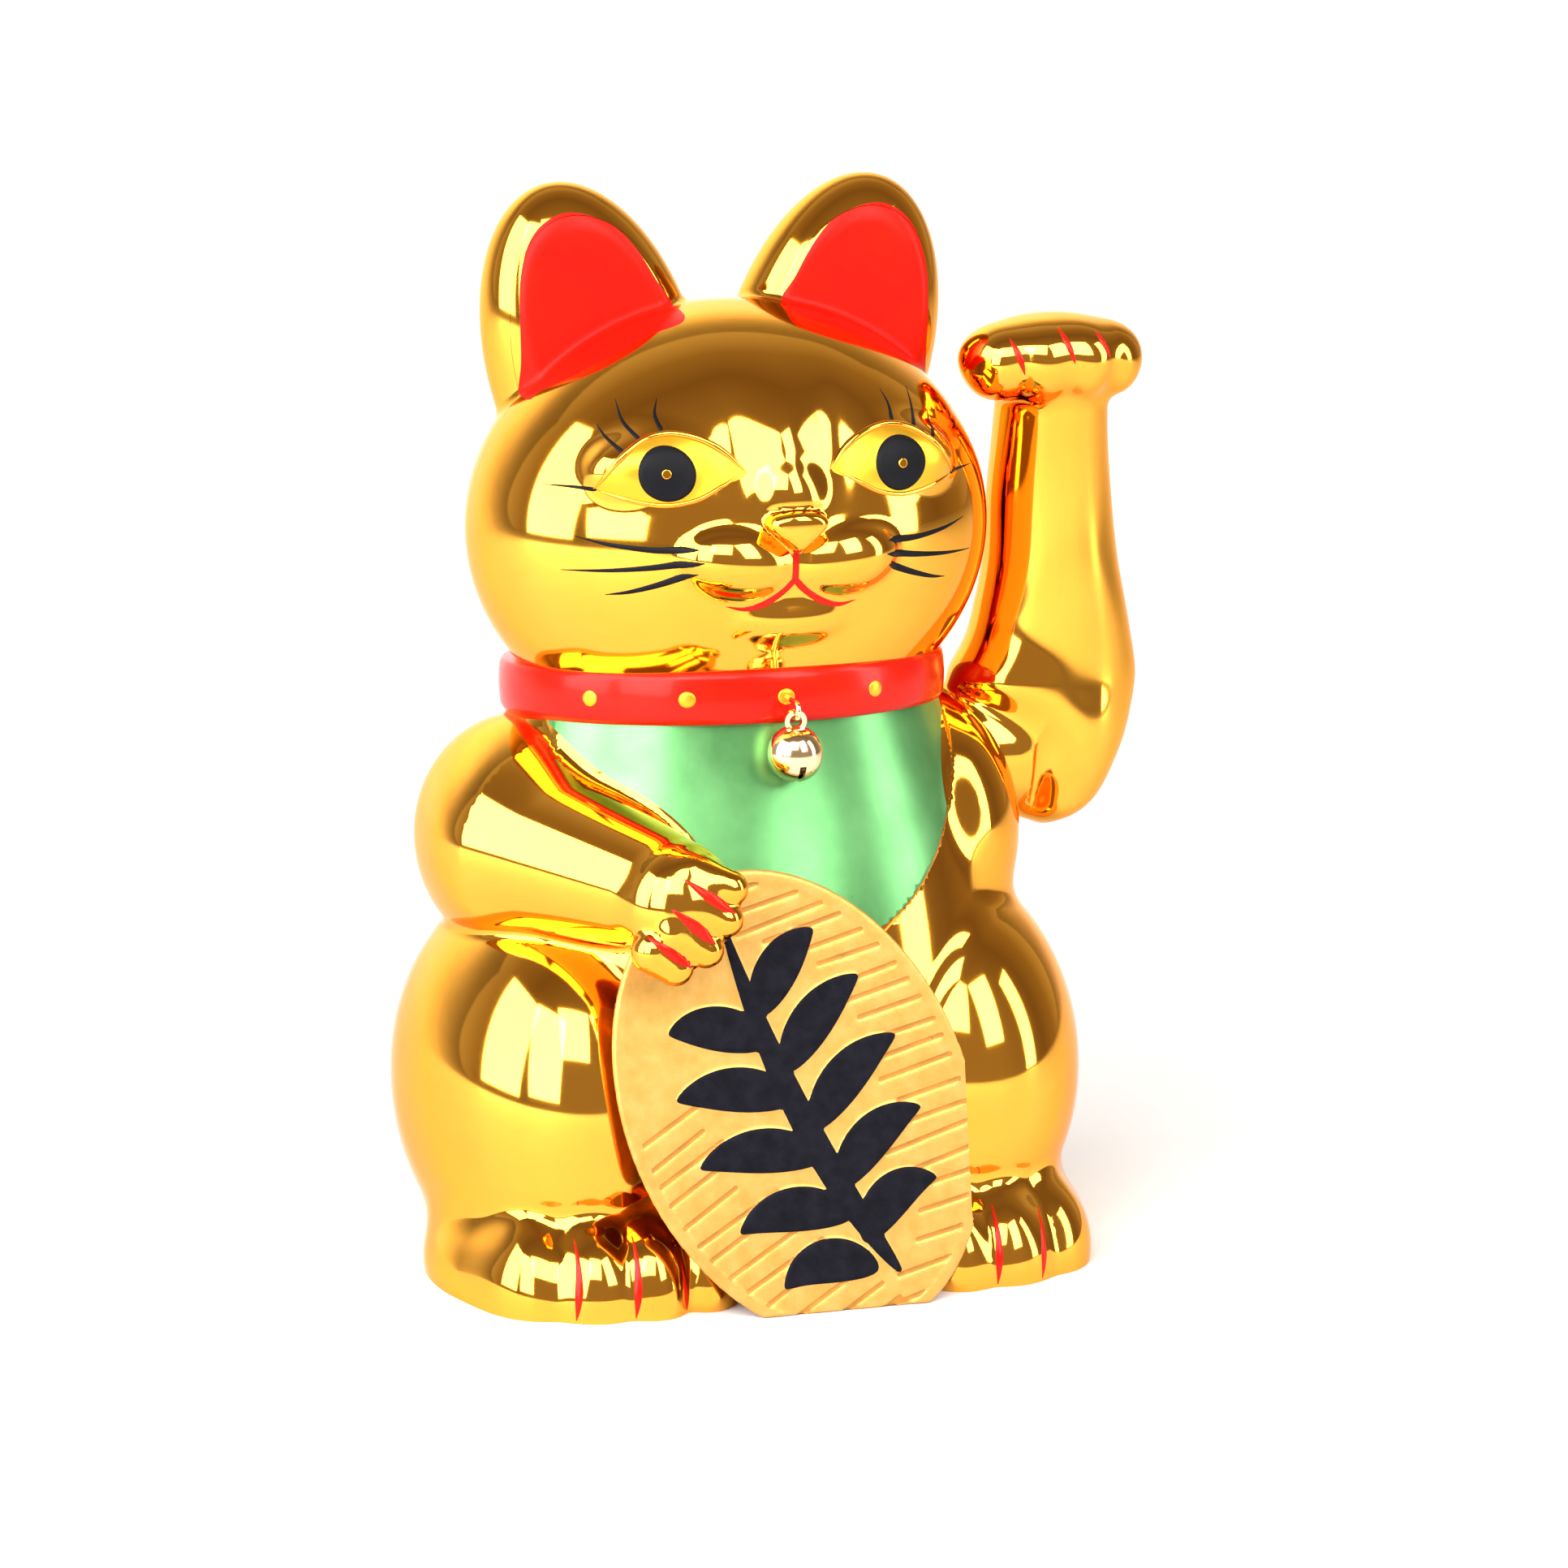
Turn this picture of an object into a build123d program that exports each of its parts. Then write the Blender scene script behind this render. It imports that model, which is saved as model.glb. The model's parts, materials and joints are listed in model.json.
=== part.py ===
"""Beckoning cat figurine: a hollow seated cat whose raised arm swings on a magnet-driven pendulum.

Millimetres, +Z up, the cat faces -Y. The origin is the centre of the base, on the ground.
"""
import os
from math import cos, radians, sin

from build123d import *

os.makedirs("parts", exist_ok=True)

# ---- driving dimensions ----
WALL = 2.2            # moulded wall of the body shells
ARM_WALL = 1.6        # moulded wall of the raised arm
SEAM_Y = 2.0          # plane where the front and rear shells meet
PLATE_PLAY = 0.4      # gap between the shells and the base plate
PLATE = 2.4           # thickness of the base plate
FIT = 0.02            # radial play of pressed and screwed pieces
RUN = 0.05            # radial running clearance of the axle
FAR = 400.0           # larger than the figurine, for trimming

# Torso, neck and head: level ellipses (z, half width, half depth, y of the centre)
CORE = [
    (-4, 56, 44, -2), (12, 58, 46, -3), (36, 58, 47, -2), (60, 54.5, 45, -1), (78, 50, 41, 0),
    (92, 45, 37.5, 1), (104, 40, 34.5, 1), (111, 39, 34, 0.5), (119, 43.5, 36.5, 0),
    (130, 49.2, 39.6, 0), (140, 49.5, 40, 0), (152, 46.5, 37.5, 0), (163, 38.5, 31.5, 0),
    (171, 29, 24, 0), (176.5, 17.5, 14.5, 0), (178.8, 7, 6, 0),
]
# Rounded masses that come in pairs: (centre, half sizes, lean of x with height)
THIGH = ((37.2, -7, 33), (28.3, 42, 38), 0.0)
FOOT = ((37, -23, 2), (26.5, 32, 18), 0.0)
EAR = ((22.8, 10, 165), (20.8, 15, 34.5), 0.2)
MUZZLE = ((8.5, -34.5, 135.5), (10.5, 8.5, 7.5), 0.0)
# Rounded masses on one side only
COIN_SHOULDER = ((-40, -2, 79), (20.5, 24, 23), 0.0)
WAVE_SHOULDER = ((38, -2, 77), (18.5, 24, 24), 0.0)
PAW = ((-21, -54, 70), (13, 8, 9), 0.0)
NOSE = ((0, -41, 142), (5.5, 3.5, 4), 0.0)
# Forearm that reaches across to the coin: (centre, radius) at each end
FOREARM = [((-40, -6, 81), 15), ((-24, -50, 76), 11)]

COLLAR = {"half_width": 42, "half_depth": 38.5, "height": 9.6, "z": 106.3, "y": 2.5, "tilt": -5}

# Koban coin: an oval plate that leans back against the belly
COIN_FRONT_Y = -61.5
COIN_LEAN = 10.6
COIN_CENTRE = (-2.9, 38.3)
COIN_HALF = (32.4, 45.1)
COIN_TURN = 23.4
COIN_THICK = 2.5
COIN_PINS = [(-2, 50), (-8, 30)]
PIN_R = 1.5
PIN_LONG = 7.5

# Raised arm: level ellipses (z, inner x, outer x, y of the centre, half depth)
ARM = [
    (73.4, 62.5, 67.5, 4, 4), (75.5, 60, 71.5, 4, 8), (80, 58.2, 76.4, 4, 11.4), (85, 57, 79, 4, 13),
    (91, 55.6, 81.4, 4, 13.8), (97, 50.5, 83, 4, 13.8), (102.5, 46.4, 83.8, 4, 13.4), (108, 48.8, 83.1, 4, 13),
    (116, 51.4, 81.4, 3.7, 12.7), (124, 52.9, 79.6, 3.4, 12.4), (138, 53.2, 77.9, 3, 12),
    (151, 52.4, 76.9, 1.5, 12), (157, 50, 78, 0.3, 12.5), (161, 47.2, 79.4, -1, 13.4), (165, 46.1, 79.9, -2.2, 13.8),
    (169, 48.2, 77.8, -3, 12.3), (172, 52.5, 73.5, -3.6, 8.5), (173.6, 57.5, 68.5, -4, 4.5),
]
ARM_Y = 4.0           # y of the axle and of the joint between the arm's halves
AXLE_Z = 88.5
AXLE_R = 1.25
AXLE_X = (1.0, 66.0)
BOSS_R = 12.0
BOSS_X = (40.0, 60.0)
BOSS_HUB_R = 4.0
SOCKET_R = 13.0

# Pivot bracket inside the shoulder
EAR_X = (4.0, 34.0)
EAR_THICK = 2.0
EAR_R = 7.5
BRACKET_Y = 20.0
BRACKET_THICK = 2.0
BRACKET_Z = (66.0, 88.0)
BRACKET_SCREWS = [(12, 73), (26, 73)]

# Pendulum
LEVER_X = 19.0
LEVER = (2.5, 10.0)
LEVER_FOOT_Z = 30.0
HUB_R = 4.0
HUB_LONG = 10.0
WEIGHT = (15.0, 24.0, 13.0)
WEIGHT_Z = 44.0
WEIGHT_Y = 4.6
MAGNET_R = 7.0
MAGNET_THICK = 4.0

# Base, battery and electronics
SCREW_R = 1.4
SCREW_HEAD_R = 2.8
SCREW_HEAD = 1.8
BASE_POSTS = [(50, -20), (-50, -20), (42, 15), (-42, 15)]
PAD_Z = 4.4
POST_Z = 18.0
CELL_X = -26.0
CELL_R = 7.1
CELL_Z = 9.8
CELL_Y = (-28.0, 22.0)
WELL = {"x": (-35.0, -17.0), "y": (-33.0, 26.0), "top": 17.4, "wall": 1.5}
DOOR = 1.8
DOOR_LIFT = 0.3
BOARD = {"x": (2, 38), "y": (-16, 24), "z": 12.0, "thick": 1.6}
BOARD_POSTS = [(6, -12), (34, 20)]
COIL_Y = 4.0
COIL_TOP = 21.6
SWITCH_AT = (14.0, -30.0)
SWITCH_TRAVEL = 1.5

# Bell
BELL_AT = (0, -41.2, 100.1)
BELL_R = 5.2
BELL_WALL = 0.5
STAPLE_R = 0.5
STAPLE_Z = 106.8
EYELET_R = 1.65
EYELET_WIRE = 0.45
PELLET_R = 1.5


def box_between(low, high, mode=Mode.ADD):
    """Put a box with these two corners into the part that is being built."""
    size = [b - a for a, b in zip(low, high)]
    middle = [(a + b) / 2 for a, b in zip(low, high)]
    with BuildPart() as block:
        with Locations(tuple(middle)):
            Box(*size)
    add(block.part, mode=mode)


def round_mass(mass, inset, side=1):
    """Loft a rounded mass through level ellipses whose sizes follow an ellipsoid."""
    (x, y, z), (half_width, half_depth, half_height), lean = mass
    with BuildPart() as rounded:
        for angle in (-80, -60, -40, -20, 0, 20, 40, 60, 80):
            rise = (half_height - inset) * sin(radians(angle))
            spread = cos(radians(angle))
            centre = (side * (x + lean * rise), y, z + rise)
            with BuildSketch(Plane(origin=centre)):
                Ellipse((half_width - inset) * spread, (half_depth - inset) * spread)
        loft()
    return rounded.part


def forearm(inset):
    """Loft the forearm along its own axis, with a rounded end under the paw."""
    (start, start_r), (end, end_r) = FOREARM
    axis = Vector(*end) - Vector(*start)
    reach = axis.length
    axis = axis.normalized()
    stations = [(0, start_r), (reach / 2, (start_r + end_r) / 2), (reach, end_r)]
    stations += [(reach + end_r * sin(radians(a)), end_r * cos(radians(a))) for a in (35, 60, 78)]
    with BuildPart() as limb:
        for along, radius in stations:
            short = inset if along > reach else 0
            with BuildSketch(Plane(origin=Vector(*start) + axis * (along - short), z_dir=axis)):
                Circle(max(radius - inset, 0.8))
        loft()
    return limb.part


def cat_form(inset, with_face):
    """The closed outer form of the seated cat, drawn inwards by inset."""
    with BuildPart() as form:
        for z, half_width, half_depth, y in CORE:
            drop = inset * min(max((z - 140) / 38, 0), 1)
            with BuildSketch(Plane(origin=(0, y, z - drop))):
                Ellipse(max(half_width - inset, 2), max(half_depth - inset, 2))
        loft()
        for side in (-1, 1):
            add(round_mass(THIGH, inset, side))
            add(round_mass(FOOT, inset, side))
            add(round_mass(EAR, inset, side))
        add(round_mass(COIN_SHOULDER, inset))
        add(round_mass(WAVE_SHOULDER, inset))
        add(forearm(inset))
        add(round_mass(PAW, inset))
        if with_face:
            for side in (-1, 1):
                add(round_mass(MUZZLE, inset, side))
            add(round_mass(NOSE, inset))
    return form.part


def collar_band():
    """Raised band around the neck, slightly higher at the front."""
    band_plane = Plane(origin=(0, COLLAR["y"], COLLAR["z"])).rotated((COLLAR["tilt"], 0, 0))
    with BuildPart() as band:
        with BuildSketch(band_plane.offset(-COLLAR["height"] / 2)):
            Ellipse(COLLAR["half_width"], COLLAR["half_depth"])
        extrude(amount=COLLAR["height"])
        fillet(band.edges(), 2.0)
    return band.part


def arm_form(inset):
    """Raised arm with the round boss that enters the shoulder, drawn inwards by inset."""
    with BuildPart() as form:
        for z, inner, outer, y, half_depth in ARM:
            shift = inset * min(max((z - 91) / 85, -1), 1)
            half = max((outer - inner) / 2 - inset, 1.2)
            with BuildSketch(Plane(origin=((inner + outer) / 2, y, z - shift))):
                Ellipse(half, max(half_depth - inset, 1))
        loft()
        with BuildSketch(Plane.YZ.offset(BOSS_X[0] + inset)):
            with Locations((ARM_Y, AXLE_Z)):
                Circle(BOSS_R - inset)
        extrude(amount=BOSS_X[1] - BOSS_X[0])
    return form.part


def screw_solid(point, direction, long):
    """Pan-head self-tapping screw: point is under the head, direction runs towards the tip."""
    with BuildPart() as screw:
        with BuildSketch(Plane(origin=point, z_dir=direction)):
            Circle(SCREW_R)
        extrude(amount=long)
        with BuildSketch(Plane(origin=point, z_dir=direction)):
            Circle(SCREW_HEAD_R)
        extrude(amount=-SCREW_HEAD)
        fillet(screw.faces().sort_by(Axis(point, direction))[0].edges(), 0.7)
        with BuildSketch(Plane(origin=Vector(*point) - Vector(*direction) * SCREW_HEAD, z_dir=direction)):
            Rectangle(2.8, 0.6)
            Rectangle(0.6, 2.8)
        extrude(amount=0.9, mode=Mode.SUBTRACT)
    return screw.part


def lead_solid(points, radius, bends):
    """Insulated wire along straight runs joined by tangent arcs."""
    with BuildPart() as lead:
        with BuildLine() as route:
            FilletPolyline(*points, radius=bends)
        wire = route.wires()[0]
        with BuildSketch(Plane(origin=wire @ 0, z_dir=wire % 0)):
            Circle(radius)
        sweep(path=wire)
    length = wire.length
    print("lead", round(length, 1), "mm, bends", bends, "volume / (section x length)",
          round(lead.part.volume / (3.14159265 * radius ** 2 * length), 3))
    return lead.part


def save(builder, name):
    """Label a finished piece and write its STEP file."""
    builder.part.label = name
    export_step(builder.part, f"parts/{name}.step")


outer_form = cat_form(0.0, True)
cavity_form = cat_form(WALL, False)
wall_middle = cat_form(WALL / 2, False)
coin_keep_out = cat_form(-0.2, False)

# Mouth of the round socket in the shoulder that the arm's boss turns in
socket_plane = Plane(origin=(38, ARM_Y, AXLE_Z), x_dir=(0, 0, 1), z_dir=(1, 0, 0))

# ---- koban coin, with two locating pins on its back ----
coin_plane = Plane(origin=(0, COIN_FRONT_Y, 0), x_dir=(1, 0, 0),
                   z_dir=(0, -cos(radians(COIN_LEAN)), sin(radians(COIN_LEAN))))
with BuildPart() as koban_coin:
    with BuildSketch(coin_plane):
        with Locations(Location((*COIN_CENTRE, 0), (0, 0, COIN_TURN))):
            Ellipse(*COIN_HALF)
    extrude(amount=-COIN_THICK)
    fillet(koban_coin.edges(), 0.8)
    box_between((-FAR / 2, -FAR / 2, -FAR), (FAR / 2, FAR / 2, 0), mode=Mode.SUBTRACT)
    add(coin_keep_out, mode=Mode.SUBTRACT)
    with BuildSketch(coin_plane.offset(-COIN_THICK)):
        with Locations(*COIN_PINS):
            Circle(PIN_R)
    extrude(amount=-PIN_LONG)

# ---- body shells ----
with BuildPart() as front_posts:
    for x, y in BASE_POSTS:
        if y < SEAM_Y:
            with Locations((x, y, (PAD_Z + POST_Z) / 2)):
                Cylinder(4, POST_Z - PAD_Z)
            box_between((min(x, x * 1.6), y - 1.2, PAD_Z), (max(x, x * 1.6), y + 1.2, POST_Z))
    add(wall_middle, mode=Mode.INTERSECT)

with BuildPart() as front_shell:
    add(outer_form)
    add(collar_band())
    add(cavity_form, mode=Mode.SUBTRACT)
    box_between((-FAR / 2, -FAR / 2, 0), (FAR / 2, SEAM_Y, FAR), mode=Mode.INTERSECT)
    add(front_posts.part)
    for x, y in BASE_POSTS:
        with Locations((x, y, PAD_Z)):
            Cylinder(SCREW_R + FIT, 24, mode=Mode.SUBTRACT)
    with BuildSketch(socket_plane):
        Circle(SOCKET_R)
    extrude(amount=30, mode=Mode.SUBTRACT)
    with BuildSketch(coin_plane.offset(-COIN_THICK)):
        with Locations(*COIN_PINS):
            Circle(PIN_R + 0.1)
    extrude(amount=-12, mode=Mode.SUBTRACT)
save(front_shell, "front_shell")
save(koban_coin, "koban_coin")

with BuildPart() as rear_posts:
    for x, y in BASE_POSTS:
        if y > SEAM_Y:
            with Locations((x, y, (PAD_Z + POST_Z) / 2)):
                Cylinder(4, POST_Z - PAD_Z)
            box_between((min(x, x * 1.6), y - 1.2, PAD_Z), (max(x, x * 1.6), y + 1.2, POST_Z))
    for x, z in BRACKET_SCREWS:
        with BuildSketch(Plane.XZ.offset(-(BRACKET_Y + BRACKET_THICK))):
            with Locations((x, z)):
                Circle(4)
        extrude(amount=-30)
    add(wall_middle, mode=Mode.INTERSECT)

with BuildPart() as rear_shell:
    add(outer_form)
    add(collar_band())
    add(cavity_form, mode=Mode.SUBTRACT)
    box_between((-FAR / 2, SEAM_Y, 0), (FAR / 2, FAR / 2, FAR), mode=Mode.INTERSECT)
    add(rear_posts.part)
    for x, y in BASE_POSTS:
        with Locations((x, y, PAD_Z)):
            Cylinder(SCREW_R + FIT, 24, mode=Mode.SUBTRACT)
    for x, z in BRACKET_SCREWS:
        with BuildSketch(Plane.XZ.offset(-BRACKET_Y)):
            with Locations((x, z)):
                Circle(SCREW_R + FIT)
        extrude(amount=-11, mode=Mode.SUBTRACT)
    with BuildSketch(socket_plane):
        Circle(SOCKET_R)
    extrude(amount=30, mode=Mode.SUBTRACT)
save(rear_shell, "rear_shell")

# ---- base plate with battery well, board posts, screw pads and switch slot ----
plate_form = cat_form(WALL + PLATE_PLAY, False)
(well_x0, well_x1), (well_y0, well_y1) = WELL["x"], WELL["y"]
well_wall = WELL["wall"]
with BuildPart() as base_plate:
    add(plate_form)
    box_between((-FAR / 2, -FAR / 2, 0), (FAR / 2, FAR / 2, PLATE), mode=Mode.INTERSECT)
    for x, y in BASE_POSTS:
        with Locations((x, y, PAD_Z / 2)):
            Cylinder(4.6, PAD_Z)
    for x, y in BOARD_POSTS:
        with Locations((x, y, BOARD["z"] / 2)):
            Cylinder(3, BOARD["z"])
    box_between((well_x0 - well_wall, well_y0 - well_wall, 0),
                (well_x1 + well_wall, well_y1 + well_wall, WELL["top"] + well_wall))
    box_between((well_x0, well_y0, DOOR + DOOR_LIFT), (well_x1, well_y1, WELL["top"]), mode=Mode.SUBTRACT)
    box_between((well_x0 - 1, well_y0 - 1, -1), (well_x1 + 1, well_y1 + 1, DOOR + DOOR_LIFT + 0.2),
                mode=Mode.SUBTRACT)
    for y in (well_y0 + 1.5, well_y1 - 1.5):
        box_between((well_x1 - 1, y - 1.2, 7), (well_x1 + 4, y + 1.2, 12), mode=Mode.SUBTRACT)
    for x, y in BASE_POSTS:
        with Locations((x, y, 0)):
            Cylinder(SCREW_R + 0.2, 20, mode=Mode.SUBTRACT)
            Cylinder(SCREW_HEAD_R + 0.3, 2 * (SCREW_HEAD + 0.3), mode=Mode.SUBTRACT)
    for x, y in BOARD_POSTS:
        with Locations((x, y, BOARD["z"])):
            Cylinder(SCREW_R + FIT, 14, mode=Mode.SUBTRACT)
    box_between((SWITCH_AT[0] - 3.4, SWITCH_AT[1] - 1.5, -1), (SWITCH_AT[0] + 3.4, SWITCH_AT[1] + 1.5, 3),
                mode=Mode.SUBTRACT)
save(base_plate, "base_plate")

with BuildPart() as base_screws:
    for x, y in BASE_POSTS:
        add(screw_solid((x, y, SCREW_HEAD + 0.3), (0, 0, 1), 11))
save(base_screws, "base_screws")

# ---- battery door: a clipped cover with a finger groove ----
with BuildPart() as battery_door:
    box_between((well_x0 - 0.8, well_y0 - 0.8, DOOR_LIFT), (well_x1 + 0.8, well_y1 + 0.8, DOOR + DOOR_LIFT))
    fillet(battery_door.edges().filter_by(Axis.Z), 0.8)
    for offset_y in (-3, 0, 3):
        with Locations((CELL_X, 18 + offset_y, DOOR_LIFT)):
            Box(12, 1.2, 1.2, mode=Mode.SUBTRACT)
save(battery_door, "battery_door")

# ---- cell and its contacts ----
with BuildPart() as battery_cell:
    with BuildSketch(Plane(origin=(CELL_X, CELL_Y[0], CELL_Z), z_dir=(0, 1, 0))):
        Circle(CELL_R)
    extrude(amount=CELL_Y[1] - CELL_Y[0] - 1.2)
    fillet(battery_cell.edges(), 0.6)
    with BuildSketch(Plane(origin=(CELL_X, CELL_Y[1] - 1.3, CELL_Z), z_dir=(0, 1, 0))):
        Circle(2.7)
    extrude(amount=1.3)
save(battery_cell, "battery_cell")

with BuildPart() as contact_plate:
    box_between((CELL_X - 6, well_y1 - 1.7, 4), (CELL_X + 6, well_y1 - 1.2, 16))
    box_between((CELL_X, well_y1 - 1.7, 8), (well_x1 + 5, well_y1 - 1.2, 11))
    with Locations((CELL_X, (CELL_Y[1] + well_y1 - 1.2) / 2, CELL_Z)):
        Cylinder(2.2, well_y1 - 1.2 - CELL_Y[1], rotation=(90, 0, 0))
save(contact_plate, "contact_plate")

with BuildPart() as contact_spring:
    box_between((CELL_X - 6, well_y0 + 1.2, 4), (CELL_X + 6, well_y0 + 1.7, 16))
    box_between((CELL_X, well_y0 + 1.2, 8), (well_x1 + 5, well_y0 + 1.7, 11))
    spring_y = well_y0 + 1.6
    with BuildSketch(Plane.XY.offset(CELL_Z - 2.5)):
        with BuildLine():
            ThreePointArc((CELL_X - 5, spring_y), (CELL_X, CELL_Y[0]), (CELL_X + 5, spring_y))
            Line((CELL_X + 5, spring_y), (CELL_X + 4.3, spring_y))
            ThreePointArc((CELL_X + 4.3, spring_y), (CELL_X, CELL_Y[0] - 0.5), (CELL_X - 4.3, spring_y))
            Line((CELL_X - 4.3, spring_y), (CELL_X - 5, spring_y))
        make_face()
    extrude(amount=5)
save(contact_spring, "contact_spring")

# ---- circuit board and its components ----
board_top = BOARD["z"] + BOARD["thick"]
with BuildPart() as circuit_board:
    box_between((BOARD["x"][0], BOARD["y"][0], BOARD["z"]), (BOARD["x"][1], BOARD["y"][1], board_top))
    fillet(circuit_board.edges().filter_by(Axis.Z), 2)
    for x, y in BOARD_POSTS:
        with Locations((x, y, BOARD["z"])):
            Cylinder(SCREW_R + 0.2, 6, mode=Mode.SUBTRACT)
save(circuit_board, "circuit_board")

with BuildPart() as board_screws:
    for x, y in BOARD_POSTS:
        add(screw_solid((x, y, board_top), (0, 0, -1), 8))
save(board_screws, "board_screws")

with BuildPart() as coil_bobbin:
    with BuildSketch(Plane(origin=(LEVER_X, COIL_Y, 0), x_dir=(1, 0, 0), z_dir=(0, -1, 0))):
        with BuildLine():
            Polyline((1, board_top), (8, board_top), (8, board_top + 1), (3, board_top + 1),
                     (3, COIL_TOP - 1), (8, COIL_TOP - 1), (8, COIL_TOP), (1, COIL_TOP), close=True)
        make_face()
    revolve(axis=Axis((LEVER_X, COIL_Y, 0), (0, 0, 1)))
save(coil_bobbin, "coil_bobbin")

with BuildPart() as drive_coil:
    with Locations((LEVER_X, COIL_Y, (board_top + COIL_TOP) / 2)):
        Cylinder(7.4, COIL_TOP - board_top - 2 - 2 * FIT)
        Cylinder(3 + FIT, 30, mode=Mode.SUBTRACT)
save(drive_coil, "drive_coil")

with BuildPart() as transistor:
    with BuildSketch(Plane.XY.offset(board_top + 2)):
        with Locations((7, 14)):
            Circle(2.4)
            with Locations((0, 2)):
                Rectangle(6, 2, mode=Mode.SUBTRACT)
    extrude(amount=4.8)
    for offset_x in (-1.3, 0, 1.3):
        box_between((6.8 + offset_x, 13.5, board_top), (7.2 + offset_x, 13.9, board_top + 2.5))
save(transistor, "transistor")

with BuildPart() as capacitor:
    with Locations((32, -9, board_top + 4)):
        Cylinder(2.6, 8)
    fillet(capacitor.edges(), 0.4)
save(capacitor, "capacitor")

with BuildPart() as resistors:
    for x in (24, 28):
        with BuildSketch(Plane(origin=(x, 14, board_top + 1.4), z_dir=(0, 1, 0))):
            Circle(1.1)
        extrude(amount=6)
        for y in (14.5, 19.5):
            box_between((x - 0.3, y - 0.3, board_top), (x + 0.3, y + 0.3, board_top + 1.2))
save(resistors, "resistors")

# ---- slide switch ----
switch_x, switch_y = SWITCH_AT
with BuildPart() as switch_housing:
    box_between((switch_x - 6, switch_y - 2.9, PLATE), (switch_x + 6, switch_y + 2.9, PLATE + 6))
    box_between((switch_x - 4.8, switch_y - 1.9, PLATE - 1), (switch_x + 4.8, switch_y + 1.9, PLATE + 4),
                mode=Mode.SUBTRACT)
    for offset_x in (-3, 0, 3):
        box_between((switch_x + offset_x - 0.4, switch_y - 0.3, PLATE + 5.5),
                    (switch_x + offset_x + 0.4, switch_y + 0.3, PLATE + 8))
save(switch_housing, "switch_housing")

with BuildPart() as switch_slider:
    box_between((switch_x - 3, switch_y - 1.6, PLATE + 0.4), (switch_x + 3, switch_y + 1.6, PLATE + 3.6))
    box_between((switch_x - 1.6, switch_y - 1.2, 0.5), (switch_x + 1.6, switch_y + 1.2, PLATE + 1))
save(switch_slider, "switch_slider")

# ---- leads: cell to board, cell to switch, switch to board ----
with BuildPart() as lead_red:
    add(lead_solid([(-11.9, well_y1 - 1.45, 9.5), (-3, well_y1 - 1.45, 9.5), (1, 22, 18), (5, 19, 18),
                    (5, 19, board_top)], 0.6, [3.0, 3.0, 1.8]))
save(lead_red, "lead_red")

with BuildPart() as lead_black:
    add(lead_solid([(-11.9, well_y0 + 1.45, 9.5), (-4, well_y0 + 1.45, 9.5), (4, switch_y, 14),
                    (switch_x - 3, switch_y, 14), (switch_x - 3, switch_y, PLATE + 8)],
                   0.6, [3.0, 3.0, 1.5]))
save(lead_black, "lead_black")

with BuildPart() as lead_switch:
    add(lead_solid([(switch_x, switch_y, PLATE + 8), (switch_x, switch_y, 17), (switch_x, -19, 20),
                    (switch_x, -12, 18.5), (switch_x, -12, board_top)], 0.6, [2.5, 3.0, 1.5]))
save(lead_switch, "lead_switch")

# ---- pivot bracket ----
with BuildPart() as pivot_bracket:
    box_between((EAR_X[0], BRACKET_Y, BRACKET_Z[0]),
                (EAR_X[1], BRACKET_Y + BRACKET_THICK, BRACKET_Z[1]))
    for x in (EAR_X[0], EAR_X[1] - EAR_THICK):
        with BuildSketch(Plane.YZ.offset(x)):
            with Locations((ARM_Y, AXLE_Z)):
                Circle(EAR_R)
            with BuildLine():
                Polyline((ARM_Y, AXLE_Z - EAR_R), (BRACKET_Y + 1, 76), (BRACKET_Y + 1, BRACKET_Z[1]),
                         (ARM_Y + 5, AXLE_Z + 5), (ARM_Y, AXLE_Z), close=True)
            make_face()
        extrude(amount=EAR_THICK)
    with BuildSketch(Plane.YZ):
        with Locations((ARM_Y, AXLE_Z)):
            Circle(AXLE_R + RUN)
    extrude(amount=60, mode=Mode.SUBTRACT)
    for x, z in BRACKET_SCREWS:
        with BuildSketch(Plane.XZ.offset(-BRACKET_Y + 1)):
            with Locations((x, z)):
                Circle(SCREW_R + 0.2)
        extrude(amount=-6, mode=Mode.SUBTRACT)
save(pivot_bracket, "pivot_bracket")

with BuildPart() as bracket_screws:
    for x, z in BRACKET_SCREWS:
        add(screw_solid((x, BRACKET_Y, z), (0, 1, 0), 10))
save(bracket_screws, "bracket_screws")

# ---- raised arm in two halves, hollow, with a hub for the axle ----
arm_outer = arm_form(0.0)
arm_cavity = arm_form(ARM_WALL)
with BuildPart() as arm_whole:
    add(arm_outer)
    add(arm_cavity, mode=Mode.SUBTRACT)
    with BuildSketch(Plane.YZ.offset(BOSS_X[0] + 0.5)):
        with Locations((ARM_Y, AXLE_Z)):
            Circle(BOSS_HUB_R)
    extrude(amount=AXLE_X[1] - BOSS_X[0] + 1)
    with BuildSketch(Plane.YZ.offset(BOSS_X[0] - 1)):
        with Locations((ARM_Y, AXLE_Z)):
            Circle(AXLE_R + FIT)
    extrude(amount=AXLE_X[1] - BOSS_X[0] + 1 + FIT, mode=Mode.SUBTRACT)

with BuildPart() as arm_front_half:
    add(arm_whole.part)
    box_between((-FAR / 2, ARM_Y, -FAR), (FAR / 2, FAR, FAR), mode=Mode.SUBTRACT)
save(arm_front_half, "arm_front_half")

with BuildPart() as arm_rear_half:
    add(arm_whole.part)
    box_between((-FAR / 2, -FAR, -FAR), (FAR / 2, ARM_Y, FAR), mode=Mode.SUBTRACT)
save(arm_rear_half, "arm_rear_half")

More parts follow.
